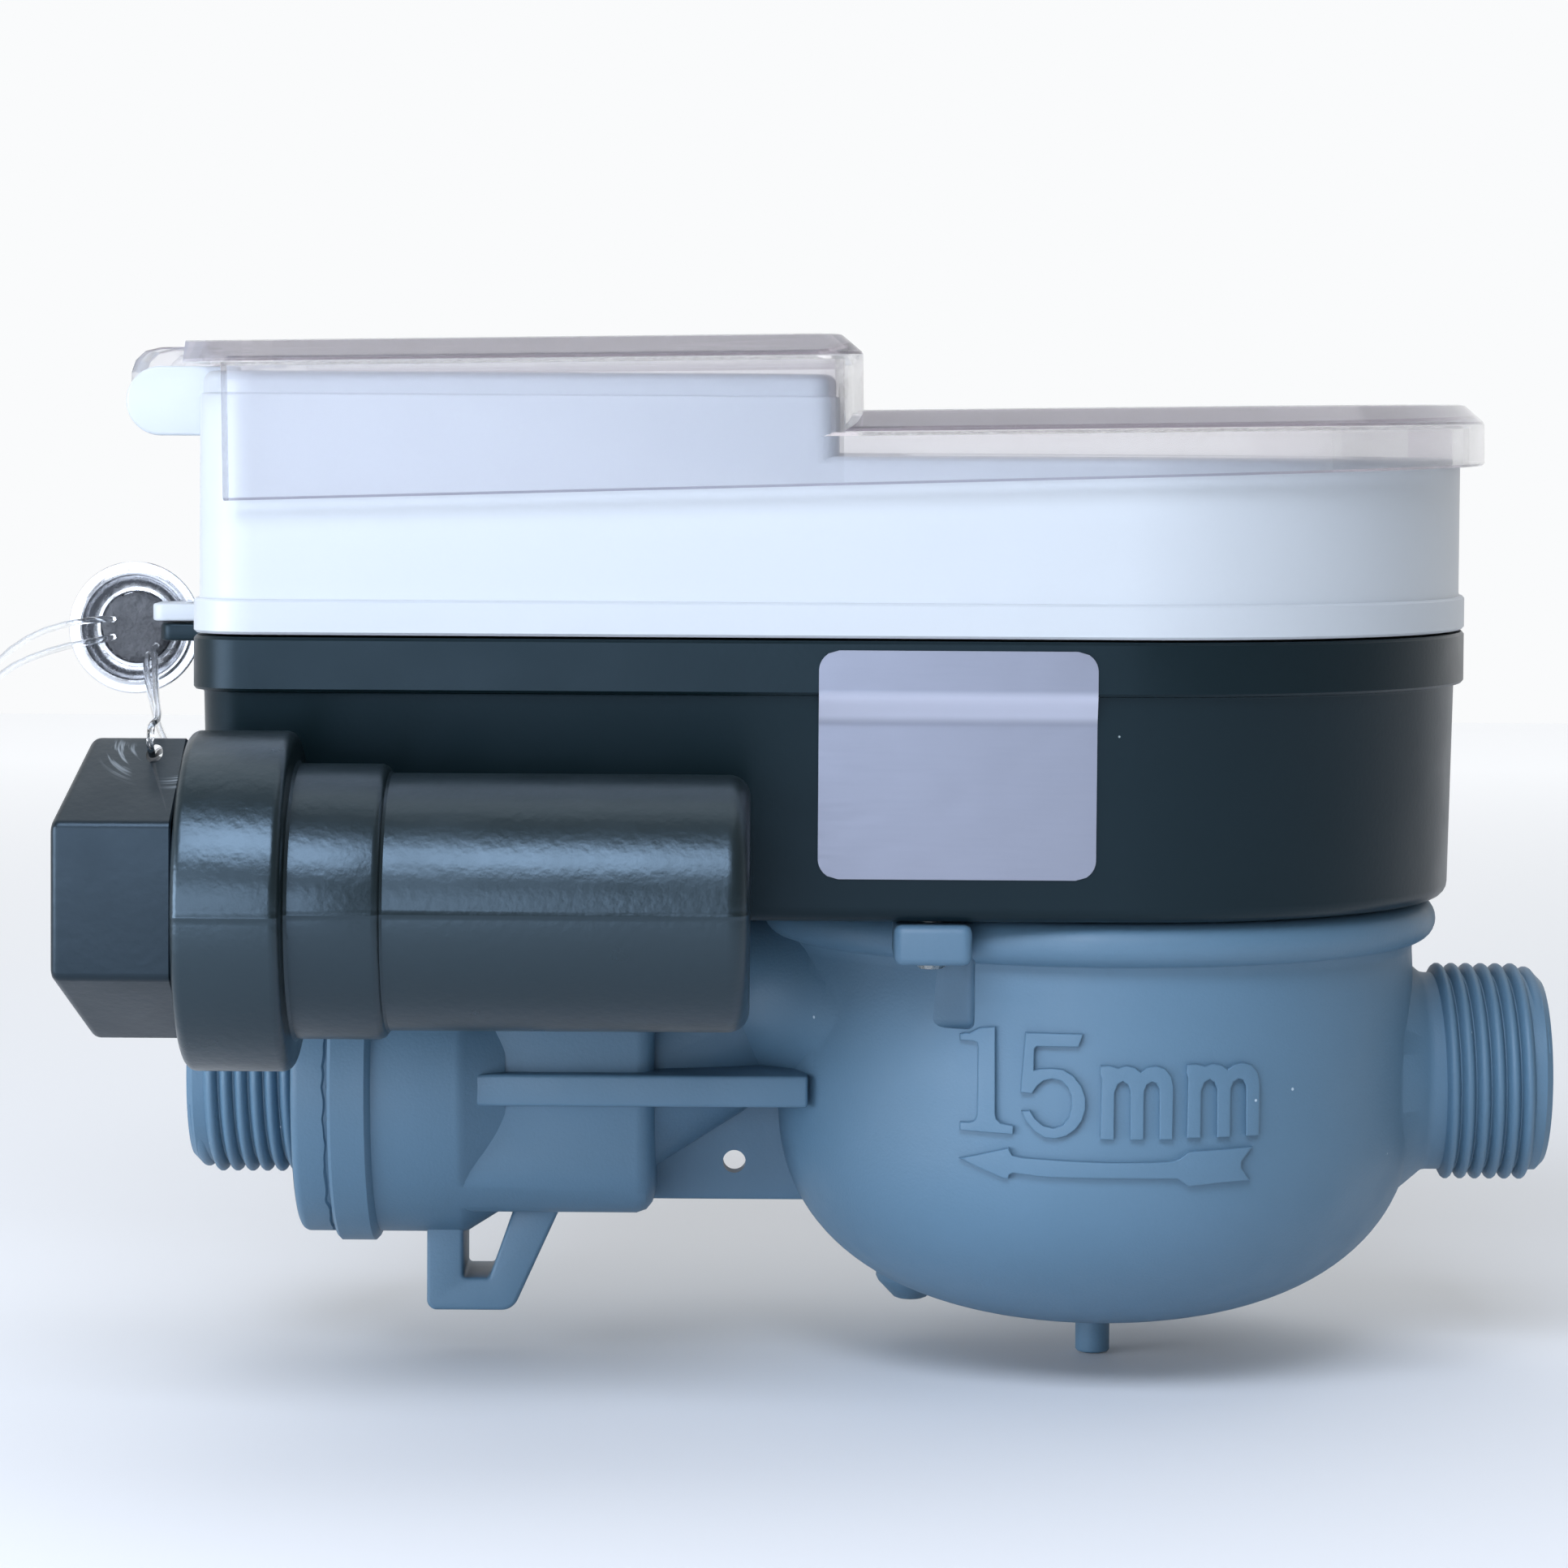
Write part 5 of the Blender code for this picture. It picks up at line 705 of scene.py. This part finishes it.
def make_thread(name, tree, place):
    """Right-handed ridge on a stub, closed underneath."""
    thing = placed(name, bpy.data.meshes.new(name))
    change = thing.modifiers.new("thread", "NODES")
    change.node_group = tree
    sockets = {item.name: item.identifier for item in tree.interface.items_tree if item.in_out == "INPUT"}
    for key, value in (("Root radius", THREAD_ROOT), ("Crest height", THREAD_CREST - THREAD_ROOT),
                       ("Pitch", THREAD_PITCH), ("Turns", THREAD_TURNS), ("Fade turns", 0.3),
                       ("Steps per turn", THREAD_STEPS), ("Finish", body_nylon)):
        change[sockets[key]] = value
    with editing(settled(thing).data) as shape:
        close_ridge(shape, int(THREAD_TURNS * THREAD_STEPS + 0.5) + 1)
        bmesh.ops.recalc_face_normals(shape, faces=shape.faces)
    thing.data.transform(place @ Matrix.Translation((0, 0, -THREAD_START)))
    return dress(thing, "meter", "body_nylon", body_nylon, crease=80)


def close_ridge(shape, rows):
    """Close the swept strip along its foot and at both ends."""
    shape.verts.ensure_lookup_table()
    verts = list(shape.verts)
    for step in range(rows - 1):
        shape.faces.new((verts[step], verts[step + 1], verts[7 * rows + step + 1], verts[7 * rows + step]))
    for step in (0, rows - 1):
        shape.faces.new([verts[corner * rows + step] for corner in range(8)])


# Label

def make_label():
    """Foil label on the case's front wall, which bridges the step below the rim."""
    left, right, low, high, corner = -89.2, -57.6, 27.3, 53.4, 2.3
    shape = bmesh.new()
    columns, rows = 40, 72
    grid = []
    for i in range(rows + 1):
        height = low + (high - low) * i / rows
        from_end = min(height - low, high - height)
        inset = corner - math.sqrt(max(corner ** 2 - (corner - from_end) ** 2, 0)) if from_end < corner else 0.0
        line = []
        for j in range(columns + 1):
            x = left + inset + (right - left - 2 * inset) * j / columns
            line.append(shape.verts.new((x, label_depth(x, height), height)))
        grid.append(line)
    for below, above in zip(grid, grid[1:]):
        for j in range(columns):
            shape.faces.new((below[j], below[j + 1], above[j + 1], above[j]))
    thing = make_thing("foil_label", shape)
    applied(thing, "SOLIDIFY", thickness=0.12, offset=0.0)
    return dress(thing, "meter", "seal_aluminium", label_foil)


def label_depth(x, height):
    """Y of the label: on the rim, over the step, and on the wall."""
    wall = -(CASE_HALF - CASE_STEP - 0.5 * (CASE_RIM_LOW - height) / (CASE_RIM_LOW - CASE_BOTTOM)) - 0.12
    rim = -CASE_HALF - 0.12
    # The foil spans the step in a straight slope that ends just above the rim's lower edge
    share = min(max((height - 44.9) / (48.5 - 44.9), 0), 1)
    blend = 0.5 * share + 0.5 * share * share * (3 - 2 * share)
    ripple = 0.03 * noise.noise(Vector((x * 0.12, height * 0.2, 2.0)))
    return wall + (rim - wall) * blend - abs(ripple)


# Case

def make_case():
    """Finely rounded case with the seal lug on its left wall and the lug's hole."""
    levels = arc(3.5, CASE_BOTTOM + 1.8, 1.8, -90, -180, 5)
    levels += [(1.2, 47.9), (1.1, 48.15), (0.25, 48.3), (0.0, 48.6), (0.0, 54.1), (0.3, 54.45)]
    tray = storeys("case_shell", levels)
    lug, hole = seal_lug(-168.5, CASE_SPLIT - 0.15 - LUG_THICKNESS)
    combine(tray, "UNION", lug)
    combine(tray, "DIFFERENCE", hole)
    return dress(tray, "meter", "case_black", case_abs, "lower_case")


def seal_lug(left, low):
    """Lug on the left wall that the seal's wire passes through, and the rod that cuts its hole."""
    corners = [(left, -9.0, 1.5), (-158.0, -9.0, 0), (-158.0, -1.0, 0), (left, -1.0, 1.5)]
    lug = soften(plate("lug", rounded(corners), low, low + LUG_THICKNESS), 0.3)
    return lug, rod("lug_hole", 1.1, (left + 4.75, -5.0, 50.0), (left + 4.75, -5.0, 60.0), 24)


def make_tube():
    """Battery tube with its collar and flange, and the mould's parting line along its front."""
    f, c, t = FLANGE_LEFT, FLANGE_LEFT + 11.8, FLANGE_LEFT + 22.1
    end = t + 40.1
    profile = [(11.8, f + 6), (11.8, f), (17.6, f)]
    profile += arc(17.7, f + EDGE_ROUND, EDGE_ROUND, -90, 0, 6)[1:]
    profile += arc(17.7, c - EDGE_ROUND, EDGE_ROUND, 0, 90, 6)
    profile += [(16.1, c), (15.6, c + 0.15), (15.3, c + 0.5), (15.3, t - 0.8), (15.1, t - 0.3), (14.8, t),
                (14.5, t + 0.1), (14.3, t + 0.4)]
    profile += arc(14.3 - 2.4, end - 2.4, 2.4, 0, 90, 8)
    profile += [(0, end), (0, f + 6)]
    tube = turned("battery_tube", profile, along_x(0, TUBE_Y, TUBE_Z), 144, (math.pi * 1.5, 0.014, 0.07))
    return dress(tube, "meter", "case_black", tube_abs)


def make_cap():
    """Hexagonal cap with rounded corners, a slanted end and the cord's hole under its top corner."""
    left, right = -172.9, FLANGE_LEFT - GAP
    rings = [(inset, x, 0.17) for inset, x in arc(EDGE_ROUND, left + EDGE_ROUND, EDGE_ROUND, -90, -180, 6)]
    rings += [(0, right - 0.2, 0.0), (0.2, right, 0.0)]
    corners = arc(0, 0, 1, 90, -270, 6)[:-1]
    cap = skin("hex_cap", [[(x + slant * (y + CAP_CORNER), y + TUBE_Y, z + TUBE_Z + CAP_LIFT) for y, z in
                            rounded([(a * (CAP_CORNER - inset), b * (CAP_CORNER - inset), 1.2)
                                     for a, b in corners], 5)] for inset, x, slant in rings])
    hole_z = TUBE_Z + CAP_LIFT + CAP_CORNER - 1.7
    combine(cap, "DIFFERENCE", rod("ring_seat", 12.8, (-160.6, TUBE_Y, TUBE_Z), (-158.0, TUBE_Y, TUBE_Z), 96),
            rod("hole", 0.9, (-162.6, TUBE_Y - 17, hole_z), (-162.6, TUBE_Y + 17, hole_z), 32))
    combine(cap, "UNION", rod("plug", 11.5, (-162.0, TUBE_Y, TUBE_Z), (-150.6, TUBE_Y, TUBE_Z), 96))
    return dress(cap, "meter", "case_black", cap_abs, "battery_cap")


# Housing and lid

def make_housing():
    """Finely rounded white housing with two decks, hinge ears, a seal lug and the window's opening."""
    step = HOUSING_STEP
    low, rim = CASE_SPLIT + 0.15, CASE_SPLIT + 4.1
    levels = [(0.3, low), (0.0, low + 0.3), (0.0, rim - 0.25), (0.25, rim), (step - 0.1, rim + 0.05),
              (step, rim + 0.4)]
    levels += arc(step + EDGE_ROUND, LOWER_DECK - EDGE_ROUND, EDGE_ROUND, 180, 90, 5)
    housing = storeys("housing_shell", levels)
    upper_levels = [(step + 0.01, LOWER_DECK - 4.6), (step + 0.01, 81.6), (step + 0.15, 81.95), (step + 0.45, 82.1)]
    upper_levels += arc(step + 0.45 + EDGE_ROUND, UPPER_DECK - EDGE_ROUND, EDGE_ROUND, 180, 90, 5)
    upper = storeys("upper_block", upper_levels, right=DECK_STEP_X)
    lug, lug_hole = seal_lug(-169.5, low)
    combine(housing, "UNION", upper, lug, hinge_ear(-1), hinge_ear(1))
    inner = step + HOUSING_WALL
    lower_room = storeys("lower_room", [(inner, low - 1), (inner, LOWER_DECK - HOUSING_WALL)])
    upper_room = storeys("upper_room", [(inner + 0.2, low + 4.1), (inner + 0.2, UPPER_DECK - HOUSING_WALL)],
                         right=DECK_STEP_X - HOUSING_WALL)
    board_room = storeys("board_room", [(2.5, low - 1), (2.5, low + 2.2)])
    window = plate("window", rounded_box(-78.6, -24.6, 15.0, 3.0), 60.0, 90.0)
    combine(housing, "DIFFERENCE", board_room, lower_room, upper_room, window, lug_hole)
    return dress(housing, "meter", "housing_white", housing_abs, "upper_housing")


def hinge_ear(side):
    """Round-ended ear on the left wall, with the hole for the pin."""
    outline = [(-157.1, HINGE.z + EAR_RADIUS), (-157.1, HINGE.z - EAR_RADIUS)]
    outline += arc(EAR_X, HINGE.z, EAR_RADIUS, -90, -270, 36)
    ear = soften(plate("ear", outline, -2.5, 2.5, forward(0, side * 24.5)), 0.35)
    return combine(ear, "DIFFERENCE", rod("hole", PIN_HOLE, (HINGE.x, -25.5, HINGE.z), (HINGE.x, 28, HINGE.z), 32))


def lid_levels(inset, low, top):
    """Levels of the lid's outside: a small round below, and the wide bevel round the top edge."""
    return [(inset + 0.25, low), (inset, low + 0.3), (inset, top - 2.4), (inset + 0.15, top - 2.1),
            (inset + 2.3, top - 0.15), (inset + 2.8, top)]


def make_lid():
    """Clear stepped lid with true walls, two knuckles and polished edges, left ajar."""
    outer = HOUSING_STEP - LID_GAP - LID_WALL
    inner = outer + LID_WALL
    low, lower_top, upper_top = LOWER_DECK - 4.9, LOWER_DECK + 3.8, UPPER_DECK + 3.2
    step_x, far_left = DECK_STEP_X + 2.4, CASE_LEFT - 14.0
    # Each half has its own block. The lower one starts inside the upper one, a hair further in
    lid = storeys("lid_shell", lid_levels(outer, low, upper_top), far_left, step_x)
    lower = storeys("lower", lid_levels(outer + 0.01, low, lower_top), DECK_STEP_X - 6.0)
    combine(lid, "UNION", lower)
    upper_room = storeys("upper_room", [(inner, low - 10), (inner, upper_top - LID_PLATE - 0.4),
                                        (inner + 0.4, upper_top - LID_PLATE)], far_left, step_x - LID_WALL)
    lower_room = storeys("lower_room", [(inner + 0.01, low - 11), (inner + 0.01, lower_top - LID_PLATE - 0.4),
                                        (inner + 0.4, lower_top - LID_PLATE)], DECK_STEP_X - 14.0)
    combine(lid, "DIFFERENCE", upper_room, lower_room,
            plate("skirt_end", [(-190, -60), (-160.3, -60), (-154.3, -38), (-154.3, 38), (-160.3, 60), (-190, 60)],
                  55, upper_top - LID_PLATE),
            block("plate_end", (-190, -60, 55), (CASE_LEFT, 60, 95)))
    combine(lid, "UNION", knuckle(-1, upper_top), knuckle(1, upper_top))
    combine(lid, "DIFFERENCE", rod("hole", PIN_HOLE, (HINGE.x, -27, HINGE.z), (HINGE.x, 27, HINGE.z), 32))
    lid.data.materials.clear()
    for finish in (lid_polycarbonate, thin_polycarbonate, plate_polycarbonate):
        lid.data.materials.append(finish)
    for face in lid.data.polygons:
        upright = abs(face.normal.z)
        cut_edge = face.normal.x < -0.9 and face.center.x > -158
        face.material_index = 0 if cut_edge else 1 if upright < 0.2 else 2 if upright > 0.95 else 0
    # The skirt is deeper at the hinge than at the round end
    for vert in lid.data.vertices:
        if vert.co.z < LOWER_DECK - 4:
            vert.co.z += 2.0 * (vert.co.x + 156) / 146 - 0.7
    lid.data.transform(Matrix.Translation(HINGE) @ Matrix.Rotation(-LID_AJAR, 4, "Y") @ Matrix.Translation(-HINGE))
    return dress(lid, "lid", "lid_clear", None, "clear_lid", crease=20)


def knuckle(side, top):
    """Arm from the lid's plate, round the pin and inside the ear."""
    under = top - LID_PLATE
    outline = [(-158.5, top - 0.2), (-158.5, under + 0.2), (HINGE.x + 4.4, under - 1.0)]
    outline += arc(HINGE.x + 0.4, HINGE.z, 3.0, -18, -180, 24)
    outline += [(HINGE.x - 2.5, top - 3.2), (HINGE.x - 2.0, top - 1.8), (HINGE.x - 0.8, top - 0.7),
                (HINGE.x + 1.0, top - 0.3)]
    return soften(plate("knuckle", outline, -6.0, 6.0, forward(0, side * 15.7)), 0.25)


# Raised size mark and flow arrow on the bowl

def on_bowl(x, z, height):
    """Point of the bowl's front at (x, z), raised by a height."""
    radius = bowl_radius(z) + height
    return (x, -math.sqrt(radius ** 2 - (x - BOWL_X) ** 2), z)


def raised_sign(outline, height=0.75):
    """Flat-topped sign with a soft edge, wrapped onto the bowl."""
    dense = []
    for i, here in enumerate(outline):
        before = outline[i - 1]
        count = max(1, round(math.dist(before, here) / 0.9))
        dense += [(before[0] + (here[0] - before[0]) * n / count, before[1] + (here[1] - before[1]) * n / count)
                  for n in range(1, count + 1)]
    sign = plate("sign", dense, -0.7, height)
    with editing(sign.data) as shape:
        rim = [edge for edge in shape.edges if all(vert.co.z > height - 0.01 for vert in edge.verts)]
        bmesh.ops.bevel(shape, geom=rim, offset=0.22, segments=3, profile=0.6, affect="EDGES", clamp_overlap=True)
        bmesh.ops.triangulate(shape, faces=[face for face in shape.faces if len(face.verts) > 4])
    for vert in sign.data.vertices:
        vert.co = on_bowl(vert.co.x, vert.co.y, vert.co.z)
    return sign


DIGIT_ONE = [
    (-72.6, 8.7), (-72.1, 8.9), (-71.5, 8.9), (-70.4, 9.6), (-68.6, 9.8), (-68.55, -0.2), (-68.4, -0.85),
    (-67.9, -1.3), (-66.45, -1.5), (-66.5, -2.5), (-72.6, -2.4), (-72.5, -1.45), (-71.4, -1.4), (-70.85, -1.15),
    (-70.6, -0.55), (-70.55, 7.4), (-70.7, 7.85), (-71.1, 8.0), (-72.6, 8.0)]
DIGIT_FIVE = [
    (-65.2, 9.3), (-58.6, 9.3), (-59.15, 7.8), (-63.9, 7.75), (-64.15, 7.45), (-64.2, 5.0), (-63.4, 5.2),
    (-62.2, 5.3), (-60.9, 5.2), (-59.7, 4.5), (-58.75, 3.3), (-58.3, 2.0), (-58.3, 0.65), (-58.7, -0.65),
    (-59.45, -1.7), (-60.5, -2.45), (-61.7, -2.8), (-63.0, -2.7), (-64.2, -1.95), (-65.15, -0.8), (-65.6, 0.25),
    (-64.6, 0.35), (-64.0, -0.6), (-63.1, -1.35), (-61.9, -1.6), (-60.9, -1.2), (-60.2, -0.3), (-59.9, 0.95),
    (-59.95, 2.2), (-60.4, 3.2), (-61.1, 3.9), (-62.1, 4.1), (-63.1, 3.85), (-63.85, 3.2), (-64.4, 2.3),
    (-65.7, 2.4)]
LETTER_M = [
    (-56.6, 5.7), (-55.55, 5.75), (-54.6, 5.45), (-53.7, 5.75), (-52.7, 5.55), (-52.0, 5.0), (-51.3, 5.5),
    (-50.25, 5.7), (-49.2, 5.4), (-48.45, 4.5), (-48.2, 3.3), (-48.25, -2.8), (-49.8, -2.8), (-49.85, 3.0),
    (-50.2, 3.7), (-50.7, 3.9), (-51.3, 3.55), (-51.6, 2.75), (-51.6, -2.8), (-53.15, -2.8), (-53.2, 2.8),
    (-53.5, 3.6), (-54.05, 3.95), (-54.65, 3.6), (-55.0, 2.6), (-55.0, -2.8), (-56.6, -2.75), (-56.5, 4.2),
    (-56.7, 4.75)]
FLOW_ARROW = [
    (-72.6, -5.7), (-67.0, -4.1), (-66.8, -4.5), (-66.55, -4.95), (-65.4, -5.15), (-59.6, -5.35), (-55.4, -5.45),
    (-50.3, -5.4), (-48.1, -5.3), (-47.35, -5.0), (-46.4, -4.3), (-45.3, -4.2), (-42.1, -4.1), (-38.8, -4.0),
    (-39.6, -5.0), (-40.1, -5.65), (-40.1, -6.35), (-39.6, -7.05), (-39.0, -7.9), (-42.4, -8.0), (-46.35, -8.3),
    (-47.6, -7.35), (-51.9, -7.3), (-55.3, -7.3), (-59.6, -7.3), (-62.9, -7.3), (-66.5, -7.0), (-66.9, -7.25),
    (-67.0, -7.7), (-67.6, -7.7), (-70.45, -6.6)]


def make_size_mark():
    """The pipe size and the flow arrow, moulded on the bowl's front."""
    second_m = [(x + (x + 56.6) * 0.03 + 10.0, z + 0.1) for x, z in LETTER_M]
    signs = [raised_sign(outline) for outline in (DIGIT_ONE, DIGIT_FIVE, LETTER_M, second_m, FLOW_ARROW)]
    return dress(gathered("size_mark", signs), "meter", "body_nylon", body_nylon)


# Seal

def make_seal():
    """Pressed aluminium cup with a rolled lip, and the crumbly putty in it."""
    place = forward(SEAL_X, SEAL_BACK_Y, SEAL_Z)
    cup = [(0, 0), (4.6, 0.0), (5.3, 0.3), (6.0, 1.2), (6.6, 2.6), (6.95, 3.6), (7.4, 3.9), (7.8, 3.95),
           (8.05, 4.1), (8.1, 4.35), (8.0, 4.55), (7.7, 4.6), (7.25, 4.45), (6.95, 4.5), (6.75, 4.6), (6.5, 4.55),
           (6.3, 4.2), (6.05, 3.5), (5.75, 3.0), (5.35, 2.65), (4.9, 2.55), (4.5, 2.7), (4.3, 2.6), (4.3, 0.5),
           (0, 0.5)]
    dress(turned("seal_cup_pressed", cup, place), "meter", "seal_aluminium", pressed_aluminium, "seal_cup")
    rings = [(0, 0.8), (3.2, 0.8), (3.9, 0.9), (4.15, 1.6), (4.2, 2.4), (4.15, 3.4), (4.0, 4.0), (3.7, 4.3)]
    rings += [(r, 4.4) for r in (3.3, 2.8, 2.2, 1.6, 1.0, 0.5)] + [(0, 4.4)]
    lump = turned("seal_putty_lump", rings, place, 96)
    for vert in lump.data.vertices:
        away = (vert.co - Vector((SEAL_X, SEAL_BACK_Y - 2.4, SEAL_Z))).normalized()
        vert.co += away * 0.30 * noise.fractal(vert.co * 1.1, 1.0, 2.1, 4)
    dress(lump, "meter", "putty", putty, "seal_putty", crease=60)


def smooth_path(points, spacing):
    """Points read at even steps from a smooth curve through the route's own points."""
    route = [Vector(p) for p in points]
    dense = []
    for i in range(len(route) - 1):
        before = route[max(i - 1, 0)]
        after = route[min(i + 2, len(route) - 1)]
        here, there = route[i], route[i + 1]
        for step in range(20):
            t = step / 20
            dense.append(0.5 * (2 * here + (there - before) * t
                                + (2 * before - 5 * here + 4 * there - after) * t ** 2
                                + (3 * here - before - 3 * there + after) * t ** 3))
    dense.append(route[-1])
    total = sum((b - a).length for a, b in zip(dense, dense[1:]))
    count = max(round(total / spacing), 2)
    spaced, walked, nearest = [dense[0]], 0.0, 1
    for a, b in zip(dense, dense[1:]):
        length = (b - a).length
        while nearest < count and walked + length >= nearest * total / count:
            spaced.append(a.lerp(b, (nearest * total / count - walked) / length))
            nearest += 1
        walked += length
    return spaced + [dense[-1]]


CORD_LOOP = [
    (-0.1701, -0.0010, 0.0514), (-0.1700, -0.0034, 0.0511), (-0.1690, -0.0100, 0.0503),
    (-0.1676, -0.0200, 0.0492), (-0.1650, -0.0380, 0.0473), (-0.1633, -0.0490, 0.0461),
    (-0.1627, -0.0545, 0.0456), (-0.1626, -0.0585, 0.0455), (-0.1626, -0.0602, 0.0450),
    (-0.1626, -0.0609, 0.0438), (-0.1626, -0.0602, 0.0426), (-0.1626, -0.0585, 0.0421),
    (-0.1626, -0.0540, 0.0421), (-0.1626, -0.0495, 0.0421), (-0.1630, -0.0450, 0.0425),
    (-0.1650, -0.0360, 0.0439), (-0.1682, -0.0200, 0.0470), (-0.1700, -0.0100, 0.0490),
    (-0.1708, -0.0034, 0.0501), (-0.1710, -0.0010, 0.0503)]
CORD_TAIL_UPPER = [
    (-0.1753, -0.0010, 0.0546), (-0.1756, -0.0024, 0.0547), (-0.1774, -0.0038, 0.0546),
    (-0.1805, -0.0045, 0.0541), (-0.1845, -0.0049, 0.0527), (-0.1884, -0.0050, 0.0499),
    (-0.1914, -0.0047, 0.0459), (-0.1935, -0.0041, 0.0415), (-0.1946, -0.0037, 0.0376),
    (-0.1950, -0.0035, 0.0340)]
CORD_TAIL_LOWER = [
    (-0.1753, -0.0010, 0.0524), (-0.1756, -0.0024, 0.0523), (-0.1774, -0.0040, 0.0520),
    (-0.1805, -0.0048, 0.0514), (-0.1845, -0.0054, 0.0501), (-0.1883, -0.0057, 0.0480),
    (-0.1910, -0.0057, 0.0446), (-0.1925, -0.0055, 0.0406), (-0.1933, -0.0053, 0.0366),
    (-0.1937, -0.0050, 0.0326)]


def make_cord(name, points, node):
    """Clear nylon line along its route."""
    path = smooth_path(points, CORD_DIAMETER * 3)
    curve = bpy.data.curves.new(name, "CURVE")
    curve.dimensions = "3D"
    curve.bevel_depth = CORD_DIAMETER / 2
    curve.bevel_resolution = 3
    curve.use_fill_caps = True
    spline = curve.splines.new("POLY")
    spline.points.add(len(path) - 1)
    for spot, point in zip(spline.points, path):
        spot.co = (*point, 1.0)
    curve.materials.append(cord_nylon)
    line = placed(name, curve)
    length = sum((b - a).length for a, b in zip(path, path[1:]))
    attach(line, "meter")
    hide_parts(node)
    tuple(path[0])


make_seal()
make_cord("seal_line_loop", CORD_LOOP, "seal_cord_loop")
make_cord("seal_line_upper", CORD_TAIL_UPPER, "seal_cord_tail_upper")
make_cord("seal_line_lower", CORD_TAIL_LOWER, "seal_cord_tail_lower")
make_body()
make_outlet_end()
make_size_mark()
pipe_thread = thread_tree()
make_thread("inlet_thread", pipe_thread, along_x())
make_thread("outlet_thread", pipe_thread,
            Matrix.Translation((OUTLET_X, 0, 0)) @ Matrix.Rotation(-math.pi / 2, 4, "Y"))
make_case()
make_tube()
make_cap()
make_housing()
make_lid()
make_label()


# Floor and light

def softbox(name, place, target, size, power, colour="#FFFFFF"):
    """Area lamp aimed at a point."""
    lamp = bpy.data.lights.new(name, "AREA")
    lamp.shape = "RECTANGLE"
    lamp.size, lamp.size_y = size
    lamp.energy = power
    lamp.color = shade(colour)[:3]
    thing = placed(name, lamp)
    thing.location = place
    thing.rotation_euler = (Vector(target) - Vector(place)).to_track_quat("-Z", "Y").to_euler()


WHITE = shade("#FAFBFC")
MIDDLE = (-0.09, 0.0, 0.03)
softbox("key_softbox", (-0.24, -0.60, 0.58), MIDDLE, (0.66, 0.30), 5.6, "#E6EFFF")
softbox("left_fill", (-0.37, -0.80, 0.07), MIDDLE, (0.60, 0.36), 2.8, "#E6EFFF")
softbox("low_left_fill", (-0.72, -0.36, 0.06), (-0.13, 0.0, 0.0), (0.40, 0.30), 3.4, "#EAF2FF")
softbox("top_softbox", (-0.05, 0.20, 0.85), MIDDLE, (0.9, 0.7), 1.5)

floor_shape = bmesh.new()
bmesh.ops.create_grid(floor_shape, x_segments=1, y_segments=1, size=FLOOR_HALF)
floor = make_thing("studio_floor", floor_shape)
floor.data.transform(Matrix.Translation((0, 0, FLOOR_Z)))
floor_paint, floor_tree, floor_place = start_material("pale_floor", "#E6E8EB", Roughness=0.7, Emission_Color=WHITE)
# The floor turns up into the white wall behind, so it glows more the further back it lies
back = add(floor_tree, "ShaderNodeSeparateXYZ", {0: floor_place}).outputs["Y"]
drive(floor_tree, "Emission Strength", level(floor_tree, back, 0.1, 1.0, 0.0, 0.47))
floor.data.materials.append(floor_paint)

# Studio walls: a white cyclorama behind the object, falling off to a dimmer room in front, above and at the right
world = bpy.data.worlds.new("studio")
world.use_nodes = True
studio = world.node_tree
wall = studio.nodes["Background"].inputs
way = add(studio, "ShaderNodeVectorMath", {0: add(studio, "ShaderNodeTexCoord").outputs["Generated"],
                                           1: (-0.32, 1.0, -0.34)}, operation="DOT_PRODUCT").outputs["Value"]
studio.links.new(level(studio, way, -0.6, 0.7, 0.26, 1.0, "SMOOTHSTEP"), wall["Strength"])
wall["Color"].default_value = WHITE
scene.world = world
